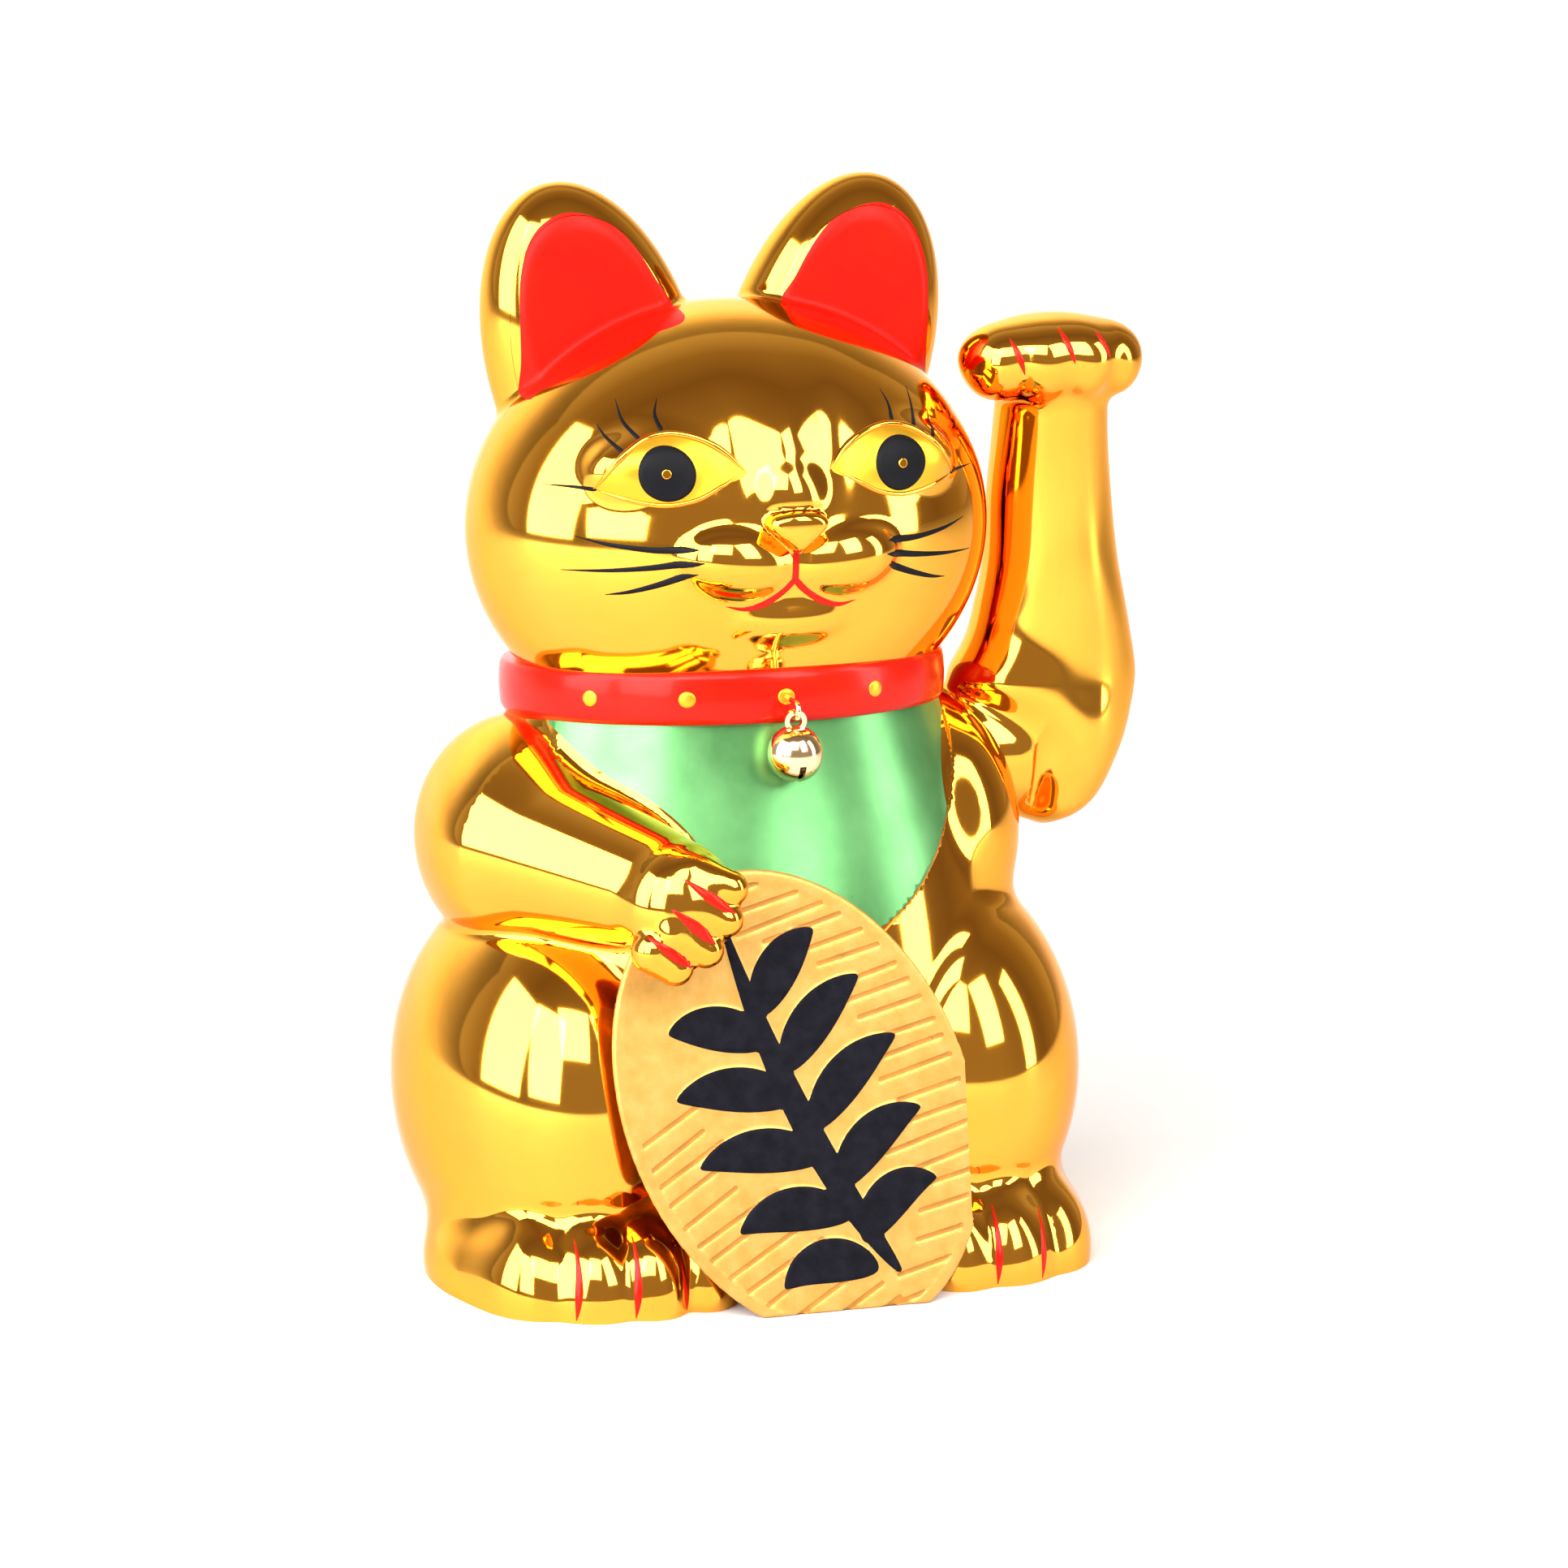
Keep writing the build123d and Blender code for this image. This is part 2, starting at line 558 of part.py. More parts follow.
with BuildPart() as arm_axle:
    with BuildSketch(Plane.YZ.offset(AXLE_X[0])):
        with Locations((ARM_Y, AXLE_Z)):
            Circle(AXLE_R)
    extrude(amount=AXLE_X[1] - AXLE_X[0])
    chamfer(arm_axle.edges(), 0.2)
save(arm_axle, "arm_axle")

with BuildPart() as axle_clips:
    for x in (EAR_X[0] - 1.2, EAR_X[1] + 0.3):
        with BuildSketch(Plane.YZ.offset(x)):
            with Locations((ARM_Y, AXLE_Z)):
                Circle(3.5)
                Circle(AXLE_R + FIT, mode=Mode.SUBTRACT)
        extrude(amount=0.9)
save(axle_clips, "axle_clips")

# ---- pendulum ----
lever_thick, lever_wide = LEVER
with BuildPart() as pendulum_lever:
    box_between((LEVER_X - lever_thick / 2, ARM_Y - lever_wide / 2, LEVER_FOOT_Z),
                (LEVER_X + lever_thick / 2, ARM_Y + lever_wide / 2, AXLE_Z))
    box_between((LEVER_X - 5, ARM_Y - 5, LEVER_FOOT_Z), (LEVER_X + 5, ARM_Y + 5, LEVER_FOOT_Z + 1.6))
    with BuildSketch(Plane.YZ.offset(LEVER_X - HUB_LONG / 2)):
        with Locations((ARM_Y, AXLE_Z)):
            Circle(HUB_R)
    extrude(amount=HUB_LONG)
    with BuildSketch(Plane.YZ.offset(LEVER_X - HUB_LONG / 2 - 1)):
        with Locations((ARM_Y, AXLE_Z)):
            Circle(AXLE_R + FIT)
    extrude(amount=HUB_LONG + 2, mode=Mode.SUBTRACT)
save(pendulum_lever, "pendulum_lever")

with BuildPart() as counterweight:
    with Locations((LEVER_X, WEIGHT_Y, WEIGHT_Z)):
        Box(*WEIGHT)
    fillet(counterweight.edges().filter_by(Axis.X), 3)
    box_between((LEVER_X - lever_thick / 2 - FIT, ARM_Y - lever_wide / 2 - FIT, 0),
                (LEVER_X + lever_thick / 2 + FIT, ARM_Y + lever_wide / 2 + FIT, 90), mode=Mode.SUBTRACT)
save(counterweight, "counterweight")

with BuildPart() as pendulum_magnet:
    with Locations((LEVER_X, ARM_Y, LEVER_FOOT_Z - MAGNET_THICK / 2)):
        Cylinder(MAGNET_R, MAGNET_THICK)
    chamfer(pendulum_magnet.edges(), 0.4)
save(pendulum_magnet, "pendulum_magnet")

# ---- bell, its staple in the collar and its pellet ----
bell_x, bell_y, bell_z = BELL_AT
with BuildPart() as bell_staple:
    with BuildLine() as staple_route:
        Line((0, -35, STAPLE_Z), (0, bell_y - 0.6, STAPLE_Z))
        ThreePointArc((0, bell_y - 0.6, STAPLE_Z), (0, bell_y - 2.0, STAPLE_Z + 1.4),
                      (0, bell_y - 0.6, STAPLE_Z + 2.8))
        Line((0, bell_y - 0.6, STAPLE_Z + 2.8), (0, -35, STAPLE_Z + 2.8))
    with BuildSketch(Plane(origin=(0, -35, STAPLE_Z), z_dir=(0, -1, 0))):
        Circle(STAPLE_R)
    sweep(path=staple_route.wires()[0])
    add(outer_form, mode=Mode.SUBTRACT)
    add(collar_band(), mode=Mode.SUBTRACT)
save(bell_staple, "bell_staple")

eyelet_z = STAPLE_Z - (EYELET_R - EYELET_WIRE - STAPLE_R - RUN)
with BuildPart() as bell_eyelet:
    with BuildSketch(Plane(origin=(0, bell_y, eyelet_z), x_dir=(1, 0, 0), z_dir=(0, -1, 0))):
        Circle(EYELET_R + EYELET_WIRE)
        Circle(EYELET_R - EYELET_WIRE, mode=Mode.SUBTRACT)
    extrude(amount=EYELET_WIRE, both=True)
save(bell_eyelet, "bell_eyelet")

with BuildPart() as bell_ball:
    with Locations(BELL_AT):
        Sphere(BELL_R)
        Sphere(BELL_R - BELL_WALL, mode=Mode.SUBTRACT)
    add(bell_eyelet.part, mode=Mode.SUBTRACT)
    box_between((-0.6, bell_y - 9, bell_z - 9), (0.6, bell_y + 9, bell_z - 1.5), mode=Mode.SUBTRACT)

with BuildPart() as bell_upper_half:
    add(bell_ball.part)
    box_between((-20, -80, bell_z - 20), (20, 0, bell_z), mode=Mode.SUBTRACT)
save(bell_upper_half, "bell_upper_half")

with BuildPart() as bell_lower_half:
    add(bell_ball.part)
    box_between((-20, -80, bell_z), (20, 0, bell_z + 20), mode=Mode.SUBTRACT)
save(bell_lower_half, "bell_lower_half")

with BuildPart() as bell_pellet:
    with Locations((bell_x, bell_y, bell_z - BELL_R + BELL_WALL + PELLET_R + 0.2)):
        Sphere(PELLET_R)
save(bell_pellet, "bell_pellet")
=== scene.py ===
"""Looks of the beckoning cat: mirror-gold shells, painted face, collar, bib, coin and raised arm."""
import json
import math
import random

import bmesh
import bpy
import numpy as np
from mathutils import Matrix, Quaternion, Vector


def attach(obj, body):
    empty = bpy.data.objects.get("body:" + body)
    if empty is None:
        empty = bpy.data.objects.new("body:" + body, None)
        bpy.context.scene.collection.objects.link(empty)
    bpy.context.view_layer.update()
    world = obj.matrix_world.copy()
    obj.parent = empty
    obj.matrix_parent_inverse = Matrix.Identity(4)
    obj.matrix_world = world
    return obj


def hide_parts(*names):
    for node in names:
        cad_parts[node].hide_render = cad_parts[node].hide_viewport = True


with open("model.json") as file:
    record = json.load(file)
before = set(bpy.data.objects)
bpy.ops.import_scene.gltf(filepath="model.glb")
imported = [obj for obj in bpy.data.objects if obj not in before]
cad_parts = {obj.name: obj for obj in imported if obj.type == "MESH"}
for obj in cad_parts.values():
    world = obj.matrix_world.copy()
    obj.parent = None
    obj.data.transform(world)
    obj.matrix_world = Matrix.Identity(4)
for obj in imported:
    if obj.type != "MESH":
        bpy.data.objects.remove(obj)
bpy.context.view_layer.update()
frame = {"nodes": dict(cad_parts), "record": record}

MM = 0.001
random.seed(7)

# ---------------------------------------------------------------- sizes, in millimetres
SEAM_Y = 2.0
SEAM_GAP = 0.06
WALL = 2.0
ARM_WALL = 1.4
ARM_SEAM_Y = 4.0
HEAD_CELL = 0.75
BODY_CELL = 0.95
ARM_CELL = 0.8

# Torso: level ellipses (z, half width, half depth, y of the centre)
TORSO = [(-12, 55, 43, -2), (0, 57, 45, -2.5), (14, 58, 46, -3), (36, 57, 46.5, -2), (60, 53.5, 45, -1),
         (78, 50, 41, 0), (92, 45, 37.5, 1), (102, 41, 35, 1), (112, 37, 33, 1), (124, 30, 28, 1)]
# Raised arm: level ellipses (z, inner x, outer x, y of the centre, half depth)
ARM = [(73.4, 62.5, 67.5, 4, 4), (75.5, 60, 71.5, 4, 8), (80, 58.2, 76.4, 4, 11.4), (85, 57, 79, 4, 13),
       (91, 55.6, 81.4, 4, 13.8), (97, 50.5, 83, 4, 13.8), (102.5, 46.4, 83.8, 4, 13.4),
       (108, 48.8, 83.1, 4, 13), (116, 51.4, 81.4, 3.7, 12.7), (124, 52.9, 79.6, 3.4, 12.4),
       (138, 53.5, 77.6, 3, 11.9), (148, 53.9, 76.3, 1.8, 11.5), (155, 54, 75.6, 0.6, 11.3),
       (166, 54, 75, -1.5, 10)]
COLLAR = {"half_width": 42.0, "half_depth": 38.5, "height": 9.6, "z": 106.3, "y": 2.5, "tilt": -5.0}
STUD_ANGLES = [math.radians(a) for a in (-51.5, -25, 0, 26)]
BIB_CENTRE_Z = 100.0
BIB_HALF = (38.5, 37.5)
BIB_RELIEF = 0.7
TORSO_TOP = 122
# Toes of the feet (x, y), mirrored; fingers of the coin hand (knuckle, tip); toes of the raised paw (x)
TOES = [(19.5, -44.5), (29.5, -46.5), (39.8, -44.8), (50.6, -39.5)]
FINGERS = [((-24.5, -54.5, 82), (-17.3, -56.5, 79.6)), ((-25.5, -56, 77), (-18.5, -57.5, 74.2)),
           ((-28, -57, 72.3), (-22.3, -58, 69)), ((-31.5, -56.5, 69), (-27.8, -57.5, 66))]
PAW_CENTRE = (62.9, -2.4, 165.3)
PAW_TOES = (50.9, 58.8, 66.9, 74.6)
ARM_ENDS = (73.2, 166)
# The arm's axle (y, z), with the boss on the arm and the socket in the shoulder around it
AXLE = (4.0, 88.5)
BOSS_RADIUS = 12.0
BOSS_ENDS = (40, 59)
SOCKET_RADIUS = 13.0
SOCKET_START = 38
SWING = [math.radians(a) for a in (-20, -10, 0, 10, 20)]
SWING_CLEARANCE = 0.8


# ---------------------------------------------------------------- fields: negative inside, in millimetres
def ellipsoid(p, centre, half, turn=None):
    """Distance-like field of an ellipsoid; turn is (axis letter, degrees)."""
    q = p - np.asarray(centre, np.float32)
    if turn is not None:
        q = rotate(q, turn)
    half = np.asarray(half, np.float32)
    near = np.sqrt(((q / half) ** 2).sum(1)) + 1e-6
    slope = np.sqrt(((q / half ** 2) ** 2).sum(1)) + 1e-6
    return near * (near - 1) / slope


def rotate(q, turn):
    """Turn points about one axis by degrees."""
    letter, degrees = turn
    c, s = math.cos(math.radians(degrees)), math.sin(math.radians(degrees))
    first, second = {"x": (1, 2), "y": (2, 0), "z": (0, 1)}[letter]
    out = q.copy()
    out[:, first] = c * q[:, first] - s * q[:, second]
    out[:, second] = s * q[:, first] + c * q[:, second]
    return out


def capsule(p, start, end, start_r, end_r):
    """Rounded cone between two points."""
    a = np.asarray(start, np.float32)
    b = np.asarray(end, np.float32)
    t = np.clip((p - a) @ (b - a) / ((b - a) @ (b - a)), 0, 1)
    return np.linalg.norm(p - a - t[:, None] * (b - a), axis=1) - (start_r + t * (end_r - start_r))


def join(a, b, soft):
    """Union with a rounded crease."""
    h = np.clip(0.5 + 0.5 * (b - a) / soft, 0, 1)
    return b + (a - b) * h - soft * h * (1 - h)


def join_all(fields, soft):
    """Union of a row of fields with rounded creases."""
    whole = fields[0]
    for field in fields[1:]:
        whole = join(whole, field, soft)
    return whole


def carve(a, b, soft):
    """Take b out of a with a rounded edge."""
    return -join(-a, b, soft)


def step(x, low, high):
    """Smooth step from 0 at low to 1 at high."""
    t = np.clip((x - low) / (high - low), 0, 1)
    return t * t * (3 - 2 * t)


def smooth_curve(knots, values, at):
    """Natural cubic spline through (knots, values), read at the given places."""
    knots = np.asarray(knots, float)
    values = np.asarray(values, float)
    n = len(knots)
    gap = np.diff(knots)
    system = np.eye(n)
    right = np.zeros(n)
    for i in range(1, n - 1):
        system[i, i - 1:i + 2] = (gap[i - 1], 2 * (gap[i - 1] + gap[i]), gap[i])
        right[i] = 6 * ((values[i + 1] - values[i]) / gap[i] - (values[i] - values[i - 1]) / gap[i - 1])
    bend = np.linalg.solve(system, right)
    at = np.clip(at, knots[0], knots[-1])
    i = np.clip(np.searchsorted(knots, at) - 1, 0, n - 2)
    u, v = at - knots[i], knots[i + 1] - at
    return ((bend[i] * v ** 3 + bend[i + 1] * u ** 3) / (6 * gap[i])
            + (values[i] / gap[i] - bend[i] * gap[i] / 6) * v
            + (values[i + 1] / gap[i] - bend[i + 1] * gap[i] / 6) * u)


TABLE_STEP = 0.25


def spline_table(knots, values):
    """The spline sampled closely, for quick reading."""
    z = np.arange(knots[0], knots[-1] + TABLE_STEP, TABLE_STEP)
    return z, smooth_curve(knots, values, z)


def ellipse(a, b, half_a, half_b):
    """Distance-like field of an ellipse."""
    near = np.sqrt((a / half_a) ** 2 + (b / half_b) ** 2) + 1e-6
    slope = np.sqrt((a / half_a ** 2) ** 2 + (b / half_b ** 2) ** 2) + 1e-6
    return near * (near - 1) / slope


def lofted(p, tables):
    """Field of a body made of level ellipses, given by spline tables of x, half width, y, half depth."""
    x0, half_width, y0, half_depth = (np.interp(p[:, 2], z, v) for z, v in tables)
    return ellipse(p[:, 0] - x0, p[:, 1] - y0, half_width, half_depth)


torso_z = [row[0] for row in TORSO]
TORSO_TABLES = [spline_table(torso_z, [0] * len(TORSO))]
TORSO_TABLES += [spline_table(torso_z, [row[i] for row in TORSO]) for i in (1, 3, 2)]
arm_z = [row[0] for row in ARM]
ARM_TABLES = [spline_table(arm_z, [(row[1] + row[2]) / 2 for row in ARM]),
              spline_table(arm_z, [(row[2] - row[1]) / 2 for row in ARM]),
              spline_table(arm_z, [row[3] for row in ARM]),
              spline_table(arm_z, [row[4] for row in ARM])]


def smooth_loop(points, per_span=6, closed=True):
    """Catmull-Rom curve through points by hand."""
    points = np.asarray(points, float)
    if closed:
        padded = np.concatenate([points[-1:], points, points[:2]])
    else:
        padded = np.concatenate([2 * points[:1] - points[1:2], points, 2 * points[-1:] - points[-2:-1]])
    t = np.arange(per_span)[:, None] / per_span
    out = []
    for a, b, c, d in zip(padded, padded[1:], padded[2:], padded[3:]):
        out.append(0.5 * (2 * b + (c - a) * t + (2 * a - 5 * b + 4 * c - d) * t ** 2
                          + (3 * b - a - 3 * c + d) * t ** 3))
    if not closed:
        out.append(points[-1:])
    return np.concatenate(out)


def outline_field(a, b, loop):
    """Signed distance of points (a, b) to a closed outline, negative inside."""
    best = np.full(len(a), 1e9)
    inside = np.zeros(len(a), bool)
    for (x0, y0), (x1, y1) in zip(loop, np.roll(loop, -1, axis=0)):
        dx, dy = x1 - x0, y1 - y0
        t = np.clip(((a - x0) * dx + (b - y0) * dy) / (dx * dx + dy * dy), 0, 1)
        best = np.minimum(best, (a - x0 - t * dx) ** 2 + (b - y0 - t * dy) ** 2)
        crosses = ((y0 > b) != (y1 > b)) & (a < (x1 - x0) * (b - y0) / (dy if dy else 1e-9) + x0)
        inside ^= crosses
    return np.where(inside, -1, 1) * np.sqrt(best)


EAR_CUP = smooth_loop([(39.9, 161.0), (39.9, 167.4), (40.1, 175), (39.9, 182.3), (38.2, 188.9),
                       (34.8, 193.2), (29.5, 195.0), (22.3, 192.8), (17.5, 188.4), (13.4, 182.0),
                       (10.4, 176.2), (18.0, 173.2), (24.6, 170.1), (30.4, 167.2), (36.9, 163.2)])
NOSE_PAD = smooth_loop([(0, 137.6), (2.6, 139.4), (5.6, 142.2), (4.6, 144.2), (0, 145.0), (-4.6, 144.2),
                        (-5.6, 142.2), (-2.6, 139.4)])


def only_near(p, near, function, far=9.0):
    """Values of a slow function where points are near it, and a plain distance elsewhere."""
    out = np.full(len(p), far, np.float32)
    if near.any():
        out[near] = function(p[near])
    return out


def mirrored(p):
    """Points folded onto the +X side, for features that come in pairs."""
    q = p.copy()
    q[:, 0] = np.abs(q[:, 0])
    return q


def cup_outline(p):
    """Signed distance to the ear cup's outline, seen from the front."""
    q = mirrored(p)
    near = (q[:, 2] > 150) & (q[:, 0] > 2)
    return only_near(q, near, lambda r: outline_field(r[:, 0], r[:, 2], EAR_CUP))


def ear_field(p):
    """Ears with a flat cup cut into the front of each."""
    q = mirrored(p)
    back_wall = q[:, 1] - (-1.3 + (q[:, 2] - 165) * 0.09)
    q[:, 0] -= 0.2 * (q[:, 2] - 165)
    ear = ellipsoid(q, (22.8, 10, 165), (20.8, 15.0, 34.6))
    return carve(ear, np.maximum(cup_outline(p), back_wall), 0.9)


def nose_field(p):
    """Rounded triangular nose pad."""
    near = (np.abs(p[:, 0]) < 12) & (np.abs(p[:, 2] - 141.5) < 10) & (p[:, 1] < -25)
    pad = only_near(p, near, lambda r: outline_field(r[:, 0], r[:, 2], NOSE_PAD))
    dome = ellipsoid(p, (0, -39.4, 142.2), (9, 5.6, 9))
    return -join(-pad, -dome, 1.6)


def skull_field(p):
    """Head without its ears."""
    q = mirrored(p)
    skull = ellipsoid(p, (0, 0, 136), (49.7, 40.5, 42))
    muzzle = ellipsoid(q, (9.4, -35.4, 135.4), (11.6, 8.2, 7.4), ("y", 8))
    chin = ellipsoid(p, (0, -34.6, 124.6), (11.5, 6.0, 4.6))
    bridge = ellipsoid(p, (0, -35.2, 146.5), (6.6, 6.0, 6.4))
    eyeball = ellipsoid(q, (21.3, -26.4, 151.2), (13.6, 7.6, 7.2))
    ridge_line = np.exp(-(q[:, 0] / 4.6) ** 2) - 0.6 * np.exp(-((q[:, 0] - 9.5) / 3.6) ** 2)
    skull = skull - 1.1 * ridge_line * np.exp(-((p[:, 2] - 156) / 9) ** 2) * (p[:, 1] < 0)
    skull = join(skull, eyeball, 3.4)
    skull = join(skull, bridge, 2.6)
    skull = join(skull, chin, 2.4)
    skull = join(skull, muzzle, 1.6)
    return join(skull, nose_field(p), 0.6)


def head_field(p):
    """Head with ears."""
    return join(skull_field(p), ear_field(p), 1.6)


def limb_parts(p):
    """Everything that stands out from the torso: haunches, feet, shoulders and the coin arm."""
    q = mirrored(p)
    haunch = ellipsoid(q, (37.2, -7, 33), (28.3, 42, 38))
    foot = ellipsoid(q, (37.3, -21.5, 2), (26.5, 33.5, 18))
    toes = join_all([ellipsoid(q, (x, y, 2.5), (7.2, 10.5, 12.5)) for x, y in TOES], 1.6)
    legs = join(join(haunch, foot, 5.0), toes, 5.0)
    wave_shoulder = ellipsoid(p, (38, -2, 76), (18.5, 25, 26))
    coin_shoulder = ellipsoid(p, (-40, -2, 79), (20.5, 24, 23))
    coin_arm = capsule(p, (-43, -14, 80), (-25.5, -49, 77), 16.5, 10.5)
    hand = ellipsoid(p, (-25, -52.5, 75), (9.5, 8, 9.5))
    arm = join(join(coin_shoulder, coin_arm, 6.0), hand, 4.0)
    fingers = join_all([capsule(p, start, end, 4.2, 3.4) for start, end in FINGERS], 0.7)
    arm = join(arm, fingers, 1.2)
    return legs, wave_shoulder, arm


def bib_edge(p):
    """Positive inside the bib's outline, seen from the front, roughly in millimetres."""
    near = np.sqrt((p[:, 0] / BIB_HALF[0]) ** 2 + ((p[:, 2] - BIB_CENTRE_Z) / BIB_HALF[1]) ** 2)
    inside = (1 - near) * BIB_HALF[1]
    return np.minimum(inside, -8 - p[:, 1])


def torso_field(p):
    """Torso with the bib's relief on the chest, closed inside the head."""
    return np.maximum(lofted(p, TORSO_TABLES) - BIB_RELIEF * step(bib_edge(p), -0.1, 0.7),
                      p[:, 2] - TORSO_TOP)


def cat_field(p):
    """The whole seated cat without the raised arm."""
    legs, wave_shoulder, arm = limb_parts(p)
    body = join(torso_field(p), legs, 3.0)
    body = join(body, wave_shoulder, 4.0)
    body = join(body, arm, 2.0)
    body = join(body, head_field(p), 3.0)
    socket = np.hypot(p[:, 1] - AXLE[0], p[:, 2] - AXLE[1]) - SOCKET_RADIUS
    body = carve(body, np.maximum(socket, SOCKET_START - p[:, 0]), 0.8)
    return carve(body, swept_arm(p), 0.5)


def swept_arm(p):
    """Room the raised arm needs over its whole swing, with a little clearance."""
    def closest(r):
        best = np.full(len(r), 9.0, np.float32)
        y, z = r[:, 1] - AXLE[0], r[:, 2] - AXLE[1]
        for angle in SWING:
            c, s = math.cos(angle), math.sin(angle)
            turned = np.stack([r[:, 0], AXLE[0] + c * y - s * z, AXLE[1] + s * y + c * z], 1)
            best = np.minimum(best, arm_field(turned) - SWING_CLEARANCE)
        return best
    return only_near(p, (p[:, 0] > SOCKET_START) & (p[:, 2] > 66) & (p[:, 2] < 124), closest)


def arm_field(p):
    """The raised arm with its bent paw and the round boss that enters the shoulder."""
    limb = lofted(p, ARM_TABLES)
    limb = -join(-limb, -np.maximum(ARM_ENDS[0] - p[:, 2], p[:, 2] - ARM_ENDS[1]), 3.0)
    paw = ellipsoid(p, PAW_CENTRE, (17.2, 13.4, 8.3), ("x", 8))
    toe_places = [(x, -9.2 + abs(x - PAW_CENTRE[0]) * 0.34, 164.0) for x in PAW_TOES]
    toes = join_all([ellipsoid(p, place, (4.9, 7.4, 6.2), ("x", 12)) for place in toe_places], 2.0)
    limb = join(limb, join(paw, toes, 4.0), 2.4)
    boss = np.maximum(np.hypot(p[:, 1] - AXLE[0], p[:, 2] - AXLE[1]) - BOSS_RADIUS,
                      np.maximum(BOSS_ENDS[0] - p[:, 0], p[:, 0] - BOSS_ENDS[1]))
    return join(limb, boss, 4.0)


# ---------------------------------------------------------------- meshing
BLOCK = 8
BLOCK_REACH = 1.7
BLOCKS_AT_ONCE = 400
NEAR_SURFACE = 0.3
WELD = 2e-4
CORNERS = np.array([(i, j, k) for i in (0, 1) for j in (0, 1) for k in (0, 1)])
EDGES = [(a, b) for a in range(8) for b in range(a + 1, 8) if abs(CORNERS[a] - CORNERS[b]).sum() == 1]


def field_grid(field, low, cell, counts):
    """Field values on a grid, worked out only in the blocks that the surface may cross."""
    blocks = np.array([-(-c // BLOCK) for c in counts])
    index = np.stack(np.meshgrid(*[np.arange(b) for b in blocks], indexing="ij"), -1).reshape(-1, 3)
    centres = (low + (index + 0.5) * BLOCK * cell).astype(np.float32)
    middle = field(centres)
    values = np.repeat(middle, BLOCK ** 3).reshape(-1, BLOCK, BLOCK, BLOCK).astype(np.float32)
    reach = BLOCK * cell * BLOCK_REACH
    near = np.nonzero(np.abs(middle) < reach)[0]
    inner = np.stack(np.meshgrid(*[np.arange(BLOCK)] * 3, indexing="ij"), -1).reshape(-1, 3)
    for part in np.array_split(near, max(1, len(near) // BLOCKS_AT_ONCE)):
        points = low + (index[part][:, None, :] * BLOCK + inner[None]) * cell
        values[part] = field(points.reshape(-1, 3).astype(np.float32)).reshape(-1, BLOCK, BLOCK, BLOCK)
    values = values.reshape(*blocks, BLOCK, BLOCK, BLOCK).transpose(0, 3, 1, 4, 2, 5)
    return values.reshape(*(blocks * BLOCK))


def slope_of(field, points, reach=0.04):
    """Gradient of the field by four samples around each point."""
    ways = np.array([(1, -1, -1), (-1, -1, 1), (-1, 1, -1), (1, 1, 1)], np.float32)
    total = np.zeros_like(points)
    for way in ways:
        total += way * field(points + reach * way)[:, None]
    return total / (4 * reach)


def unit(vectors):
    """Vectors brought to length 1."""
    return vectors / np.linalg.norm(vectors, axis=1)[:, None]


def settle(field, points, rounds=3):
    """Move points onto the surface."""
    for _ in range(rounds):
        slope = slope_of(field, points)
        size = (slope ** 2).sum(1) + 1e-6
        points = points - slope * np.clip(field(points) / size, -1, 1)[:, None]
    return points


def surface_net(field, low, high, cell):
    """Triangle mesh of the field's surface between two corners."""
    low = np.asarray(low, float)
    counts = np.ceil((np.asarray(high, float) - low) / cell).astype(int) + 1
    values = field_grid(field, low, cell, counts)
    inside = values < 0
    shape = np.array(values.shape) - 1
    total = sum(inside[i:shape[0] + i, j:shape[1] + j, k:shape[2] + k].astype(np.int8)
                for i, j, k in CORNERS)
    cells = np.argwhere((total > 0) & (total < 8))
    number = np.full(shape, -1, np.int64)
    number[tuple(cells.T)] = np.arange(len(cells))
    corner_values = np.stack([values[tuple((cells + c).T)] for c in CORNERS], 1)
    place = np.zeros((len(cells), 3))
    crossings = np.zeros(len(cells))
    for a, b in EDGES:
        va, vb = corner_values[:, a], corner_values[:, b]
        cross = (va < 0) != (vb < 0)
        t = np.where(cross, va / np.where(cross, va - vb, 1), 0)[:, None]
        place += np.where(cross[:, None], CORNERS[a] + t * (CORNERS[b] - CORNERS[a]), 0)
        crossings += cross
    points = low + (cells + place / crossings[:, None]) * cell
    quads = []
    for axis in range(3):
        one, two = [(1, 2), (2, 0), (0, 1)][axis]
        span = [slice(1, -1)] * 3
        span[axis] = slice(0, -1)
        ahead = list(span)
        ahead[axis] = slice(1, None)
        here, there = inside[tuple(span)], inside[tuple(ahead)]
        found = np.argwhere(here != there)
        offset = np.ones(3, int)
        offset[axis] = 0
        found = found + offset
        steps = np.zeros((4, 3), int)
        steps[1, one] = steps[2, one] = -1
        steps[2, two] = steps[3, two] = -1
        ring = np.stack([number[tuple((found + s).T)] for s in steps], 1)
        flip = ~inside[tuple(found.T)]
        ring[flip] = ring[flip][:, ::-1]
        quads.append(ring)
    quads = np.concatenate(quads)
    quads = quads[(quads >= 0).all(1)]
    points = settle(field, points.astype(np.float32))
    first = np.linalg.norm(points[quads[:, 0]] - points[quads[:, 2]], axis=1)
    second = np.linalg.norm(points[quads[:, 1]] - points[quads[:, 3]], axis=1)
    short = (first <= second)[:, None]
    one = np.where(short, quads[:, [0, 1, 2]], quads[:, [1, 2, 3]])
    two = np.where(short, quads[:, [0, 2, 3]], quads[:, [1, 3, 0]])
    return points, np.concatenate([one, two])


